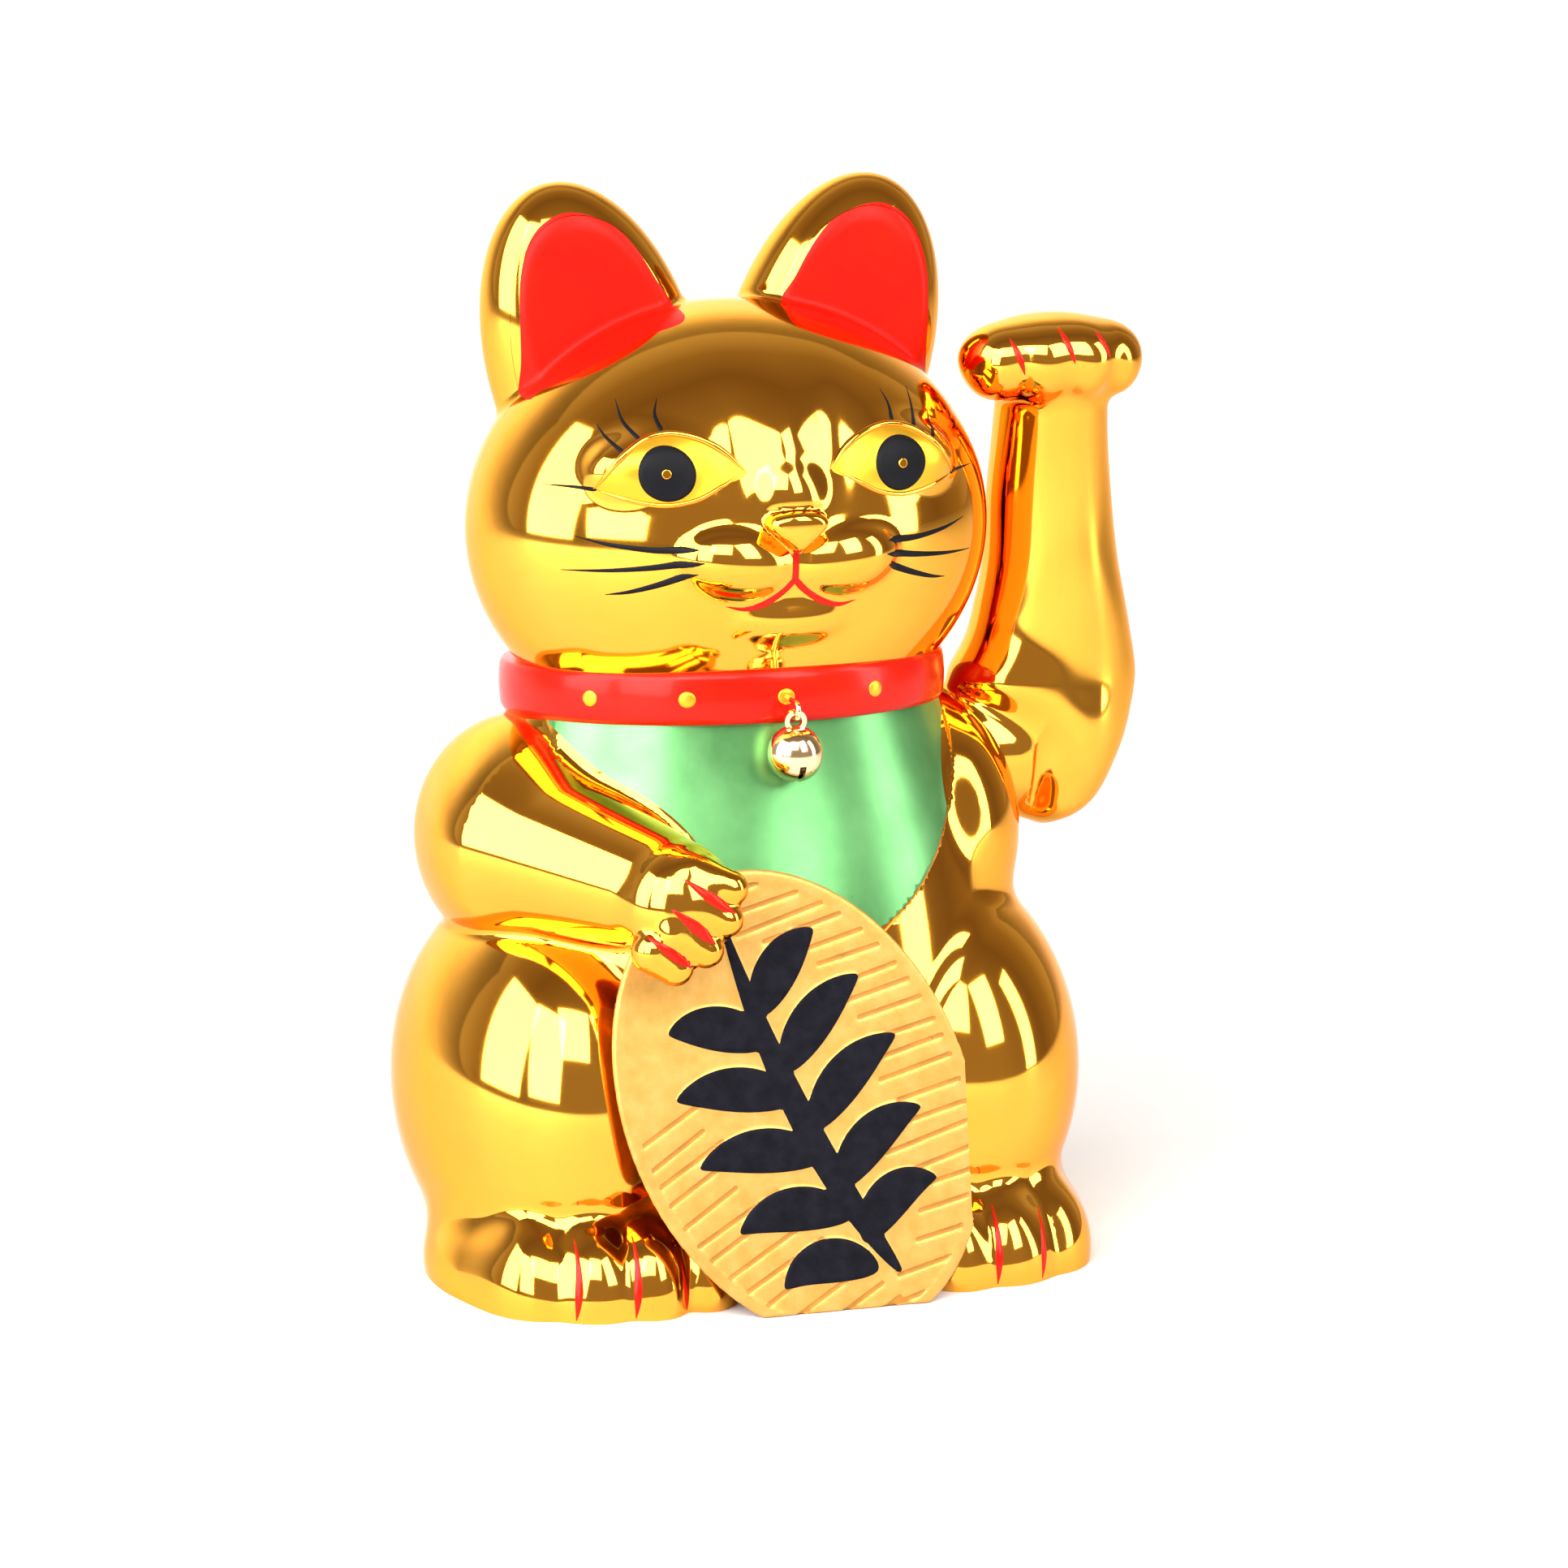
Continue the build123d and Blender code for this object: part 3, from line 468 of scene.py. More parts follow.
def cut(points, tris, values):
    """Cut triangles where values change sign. Returns the points, the triangles and their sides."""
    side = values[tris] > 0
    count = side.sum(1)
    whole = (count == 0) | (count == 3)
    mixed, mixed_side = tris[~whole], side[~whole]
    lone_is = mixed_side.sum(1) == 1
    lone = np.argmax(mixed_side == lone_is[:, None], axis=1)
    rows = np.arange(len(mixed))
    a, b, c = (mixed[rows, (lone + i) % 3] for i in range(3))
    pairs = np.sort(np.concatenate([np.stack([a, b], 1), np.stack([a, c], 1)]), axis=1)
    unique, where = np.unique(pairs, axis=0, return_inverse=True)
    where = where.reshape(-1)
    v0, v1 = values[unique[:, 0]], values[unique[:, 1]]
    t = (v0 / (v0 - v1))[:, None]
    fresh = points[unique[:, 0]] * (1 - t) + points[unique[:, 1]] * t
    ab, ac = len(points) + where[:len(mixed)], len(points) + where[len(mixed):]
    points = np.concatenate([points, fresh.astype(points.dtype)])
    pieces = [tris[whole], np.stack([a, ab, ac], 1), np.stack([ab, b, c], 1), np.stack([ab, c, ac], 1)]
    sides = [count[whole] == 3, lone_is, ~lone_is, ~lone_is]
    return points, np.concatenate(pieces), np.concatenate(sides)


def keep(points, tris, values):
    """The part of a mesh where values are positive."""
    points, tris, side = cut(points, tris, values)
    return compact(points, tris[side])


def compact(points, tris):
    """Drop points that no triangle uses, and triangles with no area."""
    edge_a = points[tris[:, 1]] - points[tris[:, 0]]
    edge_b = points[tris[:, 2]] - points[tris[:, 0]]
    tris = tris[np.linalg.norm(np.cross(edge_a, edge_b), axis=1) > 1e-9]
    used, renamed = np.unique(tris, return_inverse=True)
    return points[used], renamed.reshape(-1, 3)


def thicken(points, tris, normals, wall):
    """Close an open skin into a wall by adding an inner skin and the rim between them."""
    count = len(points)
    edges = np.concatenate([tris[:, [0, 1]], tris[:, [1, 2]], tris[:, [2, 0]]])
    key = np.sort(edges, axis=1)
    _, first, uses = np.unique(key, axis=0, return_index=True, return_counts=True)
    rim = edges[first[uses == 1]]
    inner = tris[:, ::-1] + count
    rim_one = np.stack([rim[:, 1], rim[:, 0], rim[:, 0] + count], 1)
    rim_two = np.stack([rim[:, 1], rim[:, 0] + count, rim[:, 1] + count], 1)
    return np.concatenate([points, points - normals * wall]), np.concatenate([tris, inner, rim_one, rim_two])


def add_object(name, data):
    """A new object in the scene."""
    thing = bpy.data.objects.new(name, data)
    bpy.context.scene.collection.objects.link(thing)
    return thing


def make_piece(name, points, tris, materials, body, slots=None):
    """A Blender mesh object from arrays in millimetres."""
    mesh = bpy.data.meshes.new(name)
    mesh.from_pydata((np.asarray(points, float) * MM).tolist(), [], [tuple(face) for face in tris])
    for material in materials:
        mesh.materials.append(material)
    if slots is not None:
        mesh.polygons.foreach_set("material_index", np.asarray(slots, np.int32))
    mesh.polygons.foreach_set("use_smooth", [True] * len(mesh.polygons))
    mesh.update()
    piece = add_object(name, mesh)
    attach(piece, body)
    return piece


def skin_piece(name, field, points, tris, paints, wall, body):
    """Colour an open skin by paint fields, give it a wall and make it an object.

    paints is a list of (material, values function or None); later ones lie over earlier ones.
    """
    slots = np.zeros(len(tris), int)
    for i, (_, edge) in enumerate(paints):
        if edge is None:
            continue
        new_tris, new_slots = [], []
        for slot in np.unique(slots):
            points, part, side = cut(points, tris[slots == slot], edge(points))
            new_tris.append(part)
            new_slots.append(np.where(side, i, slot))
        tris, slots = np.concatenate(new_tris), np.concatenate(new_slots)
    points, tris, slots = weld(points, tris, slots)
    near = np.abs(field(points))[:, None] < NEAR_SURFACE
    points = np.where(near, settle(field, points.astype(np.float32), 1), points)
    slope = slope_of(field, points.astype(np.float32))
    normals = slope / (np.linalg.norm(slope, axis=1)[:, None] + 1e-9)
    faces = len(tris)
    points, tris = thicken(points, tris, normals, wall)
    slots = np.concatenate([slots, np.zeros(len(tris) - faces, int)])
    normals = np.concatenate([normals, -normals])
    piece = make_piece(name, points, tris, [material for material, _ in paints], body, slots)
    set_skin_normals(piece, normals, faces)
    return piece


def set_skin_normals(piece, normals, skin_faces):
    """Exact surface normals on both skins, and flat normals on the rim between them."""
    mesh = piece.data
    loops = np.empty(len(mesh.loops), np.int64)
    mesh.loops.foreach_get("vertex_index", loops)
    flat = np.empty(len(mesh.polygons) * 3, float)
    mesh.polygons.foreach_get("normal", flat)
    flat = flat.reshape(-1, 3).repeat(3, axis=0)
    wanted = normals[loops]
    rim = np.arange(len(loops)) >= skin_faces * 2 * 3
    wanted[rim] = flat[rim]
    mesh.normals_split_custom_set(wanted.tolist())


def weld(points, tris, slots):
    """Merge points that lie in the same place."""
    key = np.round(points / WELD).astype(np.int64)
    _, first, where = np.unique(key, axis=0, return_index=True, return_inverse=True)
    tris = where.reshape(-1)[tris]
    good = (tris[:, 0] != tris[:, 1]) & (tris[:, 1] != tris[:, 2]) & (tris[:, 2] != tris[:, 0])
    return points[first], tris[good], slots[good]


# ---------------------------------------------------------------- materials
def new_material(name):
    """An empty node material with its shader."""
    material = bpy.data.materials.new(name)
    material.use_nodes = True
    return material, material.node_tree, material.node_tree.nodes["Principled BSDF"]


def noise(tree, scale, detail=3.0, rough=0.5):
    """Noise in object space: scale is in cells per metre."""
    place = tree.nodes.new("ShaderNodeTexCoord")
    node = tree.nodes.new("ShaderNodeTexNoise")
    node.inputs["Scale"].default_value = scale
    node.inputs["Detail"].default_value = detail
    node.inputs["Roughness"].default_value = rough
    tree.links.new(place.outputs["Object"], node.inputs["Vector"])
    return node.outputs["Fac"]


def ramp(tree, source, stops):
    """Colour ramp through (position, colour) stops."""
    node = tree.nodes.new("ShaderNodeValToRGB")
    node.color_ramp.elements[0].position = stops[0][0]
    node.color_ramp.elements[0].color = (*stops[0][1], 1)
    node.color_ramp.elements[1].position = stops[-1][0]
    node.color_ramp.elements[1].color = (*stops[-1][1], 1)
    for place, colour in stops[1:-1]:
        node.color_ramp.elements.new(place).color = (*colour, 1)
    tree.links.new(source, node.inputs["Fac"])
    return node.outputs["Color"]


def map_range(tree, source, low, high, end="To"):
    """Map 0 to 1 to a range of values, or with end "From" the range to 0 to 1."""
    node = tree.nodes.new("ShaderNodeMapRange")
    node.inputs[f"{end} Min"].default_value = low
    node.inputs[f"{end} Max"].default_value = high
    tree.links.new(source, node.inputs["Value"])
    return node.outputs["Result"]


def bump(tree, shader, source, strength, distance):
    """Small relief on a surface; distance is in metres."""
    node = tree.nodes.new("ShaderNodeBump")
    node.inputs["Strength"].default_value = strength
    node.inputs["Distance"].default_value = distance
    tree.links.new(source, node.inputs["Height"])
    tree.links.new(node.outputs["Normal"], shader.inputs["Normal"])


def surface(name, dark, light, rough, metallic=0.0, grain=900.0, relief=0.1, depth=0.00005, coat=0.0,
            specular=0.5):
    """A material whose colour, roughness and relief vary a little over the surface."""
    material, tree, shader = new_material(name)
    broad = noise(tree, grain * 0.12, 4.0)
    fine = noise(tree, grain, 3.0)
    tree.links.new(ramp(tree, broad, [(0.3, dark), (0.7, light)]), shader.inputs["Base Color"])
    tree.links.new(map_range(tree, fine, rough * 0.85, rough * 1.15), shader.inputs["Roughness"])
    bump(tree, shader, fine, relief, depth)
    shader.inputs["Metallic"].default_value = metallic
    shader.inputs["Coat Weight"].default_value = coat
    shader.inputs["Coat Roughness"].default_value = 0.05
    shader.inputs["Specular IOR Level"].default_value = specular
    return material


gold = surface("mirror_gold", (0.88, 0.375, 0.024), (0.92, 0.415, 0.036), 0.07, 1.0, 260.0, 0.03, 0.00003,
               coat=0.45)
gold.node_tree.nodes["Principled BSDF"].inputs["Specular Tint"].default_value = (1.0, 0.62, 0.22, 1.0)
eye_gold = surface("eye_gold", (0.62, 0.32, 0.012), (0.70, 0.38, 0.02), 0.30, 0.75, 400.0, 0.05, 0.00003)
red_paint = surface("red_paint", (0.40, 0.005, 0.0015), (0.46, 0.009, 0.002), 0.24, 0.0, 500.0, 0.05, 0.00004,
                    coat=0.06, specular=0.12)
ear_red = surface("ear_red", (0.42, 0.004, 0.0015), (0.48, 0.007, 0.002), 0.32, 0.0, 500.0, 0.05, 0.00004,
                  specular=0.08)
bib_green = surface("bib_green", (0.085, 0.27, 0.085), (0.12, 0.34, 0.12), 0.30, 0.75, 900.0, 0.06, 0.00004)
black_paint = surface("black_paint", (0.003, 0.003, 0.004), (0.009, 0.009, 0.011), 0.45, 0.0, 700.0, 0.1,
                      specular=0.06)

# ---------------------------------------------------------------- head and body shells
collar_tilt = math.radians(COLLAR["tilt"])


def above_collar(p):
    """Positive above the collar's middle plane."""
    return (p[:, 2] - COLLAR["z"]) * math.cos(collar_tilt) - (p[:, 1] - COLLAR["y"]) * math.sin(collar_tilt)


def ear_paint(p):
    """Positive inside the ear cups and on the strip of head below them."""
    return np.where((p[:, 2] > 150) & (p[:, 1] < 8), -0.25 - cup_outline(p), -1.0)


UPPER_LID = [(34.6, 148.0), (31.2, 153.2), (26.2, 157.0), (21, 158.3), (15.8, 157.4),
             (11.4, 154.9), (8.0, 151.4)]
LOWER_LID = [(33.6, 148.2), (30.2, 147.1), (26.6, 146.2), (22.2, 145.9), (17.3, 146.9),
             (12.8, 149.2), (8.8, 151.3)]
EYE = smooth_loop(UPPER_LID + LOWER_LID[::-1][1:-1])


def eye_outline(p):
    """Positive inside the almond of each eye, seen from the front."""
    q = mirrored(p)
    near = (q[:, 1] < -12) & (np.abs(q[:, 2] - 152) < 12) & (np.abs(q[:, 0] - 21) < 18)
    return only_near(q, near, lambda r: -outline_field(r[:, 0], r[:, 2], EYE), -5.0)


def bib_paint(p):
    """Positive on the bib, where the torso and not a limb is the surface."""
    legs, wave_shoulder, arm = limb_parts(p)
    others = np.minimum(np.minimum(legs, wave_shoulder), arm)
    return np.minimum(bib_edge(p) - 0.2, others - lofted(p, TORSO_TABLES) - 1.6)


def build_shells():
    """Front and rear shells, each as a head part and a body part that meet under the collar."""
    regions = [("head", (-54, -52, 96), (54, 48, 204), HEAD_CELL, [(gold, None), (eye_gold, eye_outline),
                                                                (ear_red, ear_paint)]),
               ("body", (-72, -70, -6), (72, 50, 114), BODY_CELL, [(gold, None), (bib_green, bib_paint)])]
    for region, low, high, cell, paints in regions:
        points, tris = surface_net(cat_field, low, high, cell)
        way = 1 if region == "head" else -1
        points, tris = keep(points, tris, way * above_collar(points))
        points, tris = keep(points, tris, points[:, 2].copy())
        for side, name in ((-1, "front"), (1, "rear")):
            inset = SEAM_GAP / 2
            part = keep(points, tris, side * (points[:, 1] - SEAM_Y) - inset)
            used = paints if name == "front" else paints[:1]
            if name == "rear" and region == "head":
                used = [paints[0], paints[2]]
            piece = skin_piece(f"{name}_{region}_shell", cat_field, *part, used, WALL, "cat")
            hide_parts(f"{name}_shell")


def build_arm():
    """Raised arm in two halves."""
    points, tris = surface_net(arm_field, (36, -26, 70), (88, 20, 180), ARM_CELL)
    for side, name in ((-1, "front"), (1, "rear")):
        part = keep(points, tris, side * (points[:, 1] - ARM_SEAM_Y) - SEAM_GAP / 2)
        piece = skin_piece(f"raised_arm_{name}", arm_field, *part, [(gold, None)], ARM_WALL, "waving_arm")
        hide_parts(f"arm_{name}_half")


build_shells()
build_arm()


# ---------------------------------------------------------------- painted lines and ridges
def drop_on(field, path, away=(0, -75, 0), rounds=60):
    """Bring points onto the surface by marching from a side; away is where they start from."""
    away = np.asarray(away, float)
    way = -away / np.linalg.norm(away)
    points = (np.asarray(path, float) * (way == 0) + away).astype(np.float32)
    for _ in range(rounds):
        points = points + (0.75 * field(points))[:, None] * way
    return points


def ridge(name, field, path, half_width, height, material, body, away=(0, -75, 0), taper=(0.2, 0.2),
          per_span=7, sink=0.12):
    """A raised line along a path on the surface; path is (x, y, z) with the marching axis ignored."""
    centre = drop_on(field, smooth_loop(path, per_span, closed=False), away)
    count = len(centre)
    along = unit(np.gradient(centre, axis=0))
    out = unit(slope_of(field, centre))
    across = np.cross(out, along)
    t = np.linspace(0, 1, count)
    start, end = taper
    shape = np.minimum(np.clip(t / max(start, 1e-6), 0, 1), np.clip((1 - t) / max(end, 1e-6), 0, 1)) ** 0.6
    shape = np.clip(shape, 0.15, 1)[:, None]
    rows = []
    for u, lift in ((-1, -sink), (-0.62, 0.72), (0, 1.0), (0.62, 0.72), (1, -sink), (0, -sink - 0.2)):
        base = settle(field, (centre + across * (u * half_width) * shape).astype(np.float32), 2)
        rise = lift * height * shape if lift > 0 else lift
        rows.append(base + out * rise)
    points = np.stack(rows, 1).reshape(-1, 3)
    ring = len(rows)
    quads = [(i * ring + j, i * ring + (j + 1) % ring, (i + 1) * ring + (j + 1) % ring, (i + 1) * ring + j)
             for i in range(count - 1) for j in range(ring)]
    caps = [tuple(range(ring))[::-1], tuple((count - 1) * ring + j for j in range(ring))]
    return make_piece(name, points, quads + caps, [material], body)


def front_view(path, side=1):
    """Front-view (x, z) points as (x, y, z), mirrored for side -1."""
    return [(side * x, 0, z) for x, z in path]


def disc(name, field, centre, half, height, material, body, away=(0, -75, 0), rings=7, spokes=48):
    """A painted spot: a low dome that follows the surface, seen along the marching axis."""
    flat = [(0.0, 0.0)]
    for i in range(1, rings + 1):
        for j in range(spokes):
            angle = 2 * math.pi * j / spokes
            flat.append((half[0] * math.cos(angle) * i / rings, half[1] * math.sin(angle) * i / rings))
    path = [(centre[0] + a, centre[1], centre[2] + b) for a, b in flat]
    base = drop_on(field, path, away)
    out = unit(slope_of(field, base))
    lift = np.full(len(base), height)
    lift[-spokes:] = -0.1
    top = base + out * lift[:, None]
    faces = [(0, 1 + j, 1 + (j + 1) % spokes) for j in range(spokes)]
    for i in range(rings - 1):
        for j in range(spokes):
            k = (j + 1) % spokes
            faces.append((1 + i * spokes + j, 1 + (i + 1) * spokes + j, 1 + (i + 1) * spokes + k,
                          1 + i * spokes + k))
    under = len(top)
    faces += [(under, 1 + (rings - 1) * spokes + (j + 1) % spokes, 1 + (rings - 1) * spokes + j)
              for j in range(spokes)]
    points = np.concatenate([top, [base[0] - out[0] * 0.3]])
    return make_piece(name, points, faces, [material], body)


LASHES = [[(29.6, 155.2), (31.0, 157.0), (31.8, 159.2)], [(26.2, 157.2), (27.8, 160.0), (28.0, 163.4)],
          [(22.0, 158.6), (22.4, 161.2), (21.4, 163.9)]]
EYE_CORNER = [(33.8, 148.3), (37.4, 148.3), (41.4, 148.2)]
WHISKERS = [[(18.0, 138.4), (24.0, 137.8), (31.5, 138.4), (37.4, 139.6)],
            [(17.4, 136.1), (24.0, 134.8), (31.8, 133.8), (39.4, 133.2)],
            [(18.2, 133.9), (23.8, 131.6), (29.0, 129.9), (32.6, 129.2)]]
MOUTH_STEM = [(0, 138.0), (0, 135.2), (0, 131.9)]
MOUTH_CORNER = [(0, 132.2), (2.2, 130.0), (5.4, 127.9), (9.0, 126.9), (12.4, 127.4)]


def build_face():
    """Lids, pupils, lashes, whiskers and mouth."""
    for side, name in ((1, "left"), (-1, "right")):
        ridge(f"upper_lid_{name}", skull_field, front_view(UPPER_LID, side), 0.75, 0.62, gold, "cat")
        ridge(f"lower_lid_{name}", skull_field, front_view(LOWER_LID, side), 0.5, 0.4, gold, "cat")
        for i, lash in enumerate(LASHES):
            ridge(f"lash_{name}_{i + 1}", skull_field, front_view(lash, side), 0.55, 0.16, black_paint, "cat",
                  taper=(0.05, 0.9))
        ridge(f"eye_corner_{name}", skull_field, front_view(EYE_CORNER, side), 0.5, 0.16, black_paint, "cat",
              taper=(0.05, 0.9))
        for i, whisker in enumerate(WHISKERS):
            ridge(f"whisker_{name}_{i + 1}", skull_field, front_view(whisker, side), 0.8, 0.18, black_paint,
                  "cat", taper=(0.12, 0.8))
        ridge(f"mouth_{name}", skull_field, front_view(MOUTH_CORNER, side), 0.8, 0.22, red_paint, "cat",
              taper=(0.02, 0.5))
        disc(f"pupil_{name}", skull_field, (side * 22.3, 0, 151.5), (5.4, 5.2), 0.22, black_paint, "cat")
        disc(f"pupil_dot_{name}", skull_field, (side * 22.5, 0, 151.5), (0.95, 0.95), 0.5, gold, "cat")
    ridge("mouth_stem", skull_field, front_view(MOUTH_STEM), 0.85, 0.24, red_paint, "cat", taper=(0.02, 0.02))


build_face()


FINGER_STROKES = [[(-26.5, 0, 82.4), (-22.0, 0, 79.0), (-17.4, 0, 75.9)],
                  [(-29.3, 0, 77.4), (-25.3, 0, 74.2), (-21.2, 0, 70.6)],
                  [(-33.5, 0, 72.5), (-29.3, 0, 69.4), (-25.0, 0, 66.4)]]
# x at the top, x at the bottom, height of the top, height of the bottom
PAW_STROKES = [(51.8, 54.0, 170.0, 163.4), (61.0, 63.2, 172.0, 165.4), (68.3, 70.8, 171.2, 166.0)]
# side, then x at the top, x at the ground, height of the top
TOE_STROKES = [(-1, 24.9, 24.3, 9), (-1, 33.3, 34.5, 14), (-1, 43.9, 45.3, 14),
               (1, 24.9, 24.3, 9), (1, 36.4, 35.4, 14), (1, 45.9, 44.7, 12.5)]
STROKE_FOOT = 0.6


def build_strokes():
    """Red strokes between the toes, on the raised paw and between the fingers."""
    for i, (side, x, foot_x, top) in enumerate(TOE_STROKES):
        path = [(side * (x + (foot_x - x) * t), 0, top + (STROKE_FOOT - top) * t) for t in (0, 0.35, 0.7, 1)]
        ridge(f"toe_stroke_{i + 1}", cat_field, path, 1.0, 0.22, red_paint, "cat", away=(0, -85, 0),
              taper=(0.6, 0.4))
    for i, (x, foot_x, top, low) in enumerate(PAW_STROKES):
        path = [(x + (foot_x - x) * t, 0, top + (low - top) * t) for t in (0, 0.3, 0.65, 1)]
        ridge(f"paw_stroke_{i + 1}", arm_field, path, 0.75, 0.2, red_paint, "waving_arm", away=(0, -45, 0),
              taper=(0.4, 0.4))
    for i, path in enumerate(FINGER_STROKES):
        ridge(f"finger_stroke_{i + 1}", cat_field, path, 1.3, 0.26, red_paint, "cat", away=(0, -85, 0),
              taper=(0.5, 0.25))


build_strokes()


# ---------------------------------------------------------------- collar with its studs
def collar_point(angle, out, up):
    """A point of the collar: angle from the front, out from the band's middle, up along its axis."""
    x = math.sin(angle) * (COLLAR["half_width"] + out)
    y = -math.cos(angle) * (COLLAR["half_depth"] + out)
    return (x, COLLAR["y"] + y * math.cos(collar_tilt) - up * math.sin(collar_tilt),
            COLLAR["z"] + y * math.sin(collar_tilt) + up * math.cos(collar_tilt))


def build_collar():
    """Glossy red band with small gold studs."""
    half = COLLAR["height"] / 2
    section = [(-3.6, -half + 0.4), (-0.9, -half), (-0.2, -half + 0.5), (0.15, -half + 1.6), (0.35, 0),
               (0.15, half - 1.6), (-0.2, half - 0.5), (-0.9, half), (-3.6, half - 0.4)]
    section = smooth_loop(section, 4)
    turns, ring = 192, len(section)
    points = [collar_point(2 * math.pi * i / turns, a, b) for i in range(turns) for a, b in section]
    quads = [(i * ring + j, ((i + 1) % turns) * ring + j, ((i + 1) % turns) * ring + (j + 1) % ring,
              i * ring + (j + 1) % ring) for i in range(turns) for j in range(ring)]
    collar = make_piece("collar", points, quads, [red_paint], "cat")
    recalculate(collar)
    stud_points, stud_faces = [], []
    rings, spokes = 5, 20
    for angle in STUD_ANGLES:
        start = len(stud_points)
        for i in range(rings + 1):
            reach = 1.55 * math.sin(math.pi / 2 * i / rings)
            lift = 0.28 + 0.32 * math.cos(math.pi / 2 * i / rings) - (0.3 if i == rings else 0)
            for j in range(spokes):
                spin = 2 * math.pi * j / spokes
                turn = reach * math.cos(spin) / COLLAR["half_depth"]
                stud_points.append(collar_point(angle + turn, lift, reach * math.sin(spin)))
        for i in range(rings):
            for j in range(spokes):
                k = (j + 1) % spokes
                a, b = start + i * spokes, start + (i + 1) * spokes
                stud_faces.append((a + j, a + k, b + k, b + j))
        stud_faces.append(tuple(start + rings * spokes + j for j in range(spokes)))
    studs = make_piece("collar_studs", stud_points, stud_faces, [eye_gold], "cat")
    recalculate(studs)


def recalculate(piece):
    """Weld doubled points and face everything outwards."""
    work = bmesh.new()
    work.from_mesh(piece.data)
    bmesh.ops.remove_doubles(work, verts=work.verts, dist=1e-6)
    bmesh.ops.recalc_face_normals(work, faces=work.faces)
    work.to_mesh(piece.data)
    work.free()


build_collar()


# ---------------------------------------------------------------- coin
COIN_FRONT_Y = -61.5
COIN_LEAN = 10.6
COIN_CENTRE = (-2.9, 38.3)
COIN_HALF = (32.4, 45.1)
COIN_TURN = 23.4
COIN_THICK = 2.5
GROOVE_PITCH = 4.1
GROOVE_WIDTH = 0.55
COIN_CELL = 0.5
coin_gold = surface("coin_gold", (0.50, 0.27, 0.05), (0.60, 0.34, 0.085), 0.42, 0.6, 2600.0, 0.35, 0.00012)
# Darker amber for the chiselled grooves: painted shade, standing in for the shadow the lamps don't cast in
# them
coin_groove_shade = surface("coin_groove_shade", (0.30, 0.12, 0.012), (0.42, 0.18, 0.02), 0.5, 0.4, 1500.0, 0.3, 0.00008)
coin_black = surface("coin_black", (0.002, 0.002, 0.004), (0.006, 0.0055, 0.01), 0.6, 0.0, 3200.0, 0.5,
                     0.0002, specular=0.08)


def coin_plane(p):
    """In-plane coordinates: a along the short axis, b along the long axis, w out of the coin's face."""
    lean = math.radians(COIN_LEAN)
    turn = math.radians(COIN_TURN)
    y = p[:, 1] - COIN_FRONT_Y
    v = p[:, 2] * math.cos(lean) + y * math.sin(lean)
    w = -y * math.cos(lean) + p[:, 2] * math.sin(lean)
    u = p[:, 0] - COIN_CENTRE[0]
    v = v - COIN_CENTRE[1]
    return u * math.cos(turn) + v * math.sin(turn), -u * math.sin(turn) + v * math.cos(turn), w


def leaf(start, bend, end, width, count=40):
    """Centres and radii along one brush-like leaf."""
    t = np.linspace(0, 1, count)[:, None]
    groove_shade = (1 - t) ** 2 * np.array(start) + 2 * t * (1 - t) * np.array(bend) + t ** 2 * np.array(end)
    radius = 0.45 + (width - 0.45) * np.sin(np.pi * t[:, 0] ** 0.8) ** 0.85
    return np.concatenate([groove_shade, radius[:, None]], 1)


SPRIG = [leaf((3.5, -36), (-4, -4), (1.5, 36), 2.6, 160)]
for height, reach, droop in ((-28, 17, 4), (-17, 20, 6), (-5, 21.5, 8), (7, 20, 9), (18.5, 16, 9)):
    SPRIG.append(leaf((0.5, height), (reach * 0.5, height + 8), (reach, height + droop), 4.1))
    SPRIG.append(leaf((-0.5, height - 5.5), (-reach * 0.5, height + 3.5), (-reach, height - 4.5 + droop),
                      4.1))


def sprig_field(a, b):
    """Signed distance to the leafy sprig painted on the coin, negative inside."""
    best = np.full(len(a), 1e9)
    for part in SPRIG:
        for x, y, radius in part:
            best = np.minimum(best, np.hypot(a - x, b - y) - radius)
    return best


GROOVES = []
for row in range(-10, 11):
    middle = row * GROOVE_PITCH + random.uniform(-0.6, 0.6)
    room = COIN_HALF[0] * math.sqrt(max(1 - (middle / COIN_HALF[1]) ** 2, 0)) - 2.4
    if room > 6:
        if row < 3:
            GROOVES.append((-room, middle - 1.2, -room + random.uniform(11, 19), middle + 0.8))
        GROOVES.append((room - random.uniform(10, 17), middle + 0.6, room, middle - 1.4))


def groove_depth(a, b):
    """1 in the middle of a chiselled line and 0 beside it."""
    best = np.full(len(a), 9.0)
    for x0, y0, x1, y1 in GROOVES:
        dx, dy = x1 - x0, y1 - y0
        t = np.clip(((a - x0) * dx + (b - y0) * dy) / (dx * dx + dy * dy), 0, 1)
        best = np.minimum(best, np.hypot(a - x0 - t * dx, b - y0 - t * dy))
    return np.exp(-(best / GROOVE_WIDTH) ** 2)


def coin_field(p):
    """Oval plate with a rounded rim, chiselled lines and a raised sprig, cut flat on the ground."""
    a, b, w = coin_plane(p)
    rim = ellipse(a, b, *COIN_HALF)
    face = np.abs(w + COIN_THICK / 2) - COIN_THICK / 2 + 0.35
    close = (w > -1.2) & (w < 0.6) & (rim < 1)
    relief = np.zeros(len(p))
    if close.any():
        inner = rim[close]
        lines = groove_depth(a[close], b[close])
        raised = step(-sprig_field(a[close], b[close]), -0.25, 0.35)
        border = step(inner, -2.6, -2.0)
        relief[close] = raised * 0.3 - 0.28 * lines * (1 - raised) * step(-inner, 2.0, 2.6) + 0.12 * border
    plate = -join(-rim, -face, 0.9)
    return np.maximum(plate - relief * 0.95, -p[:, 2])


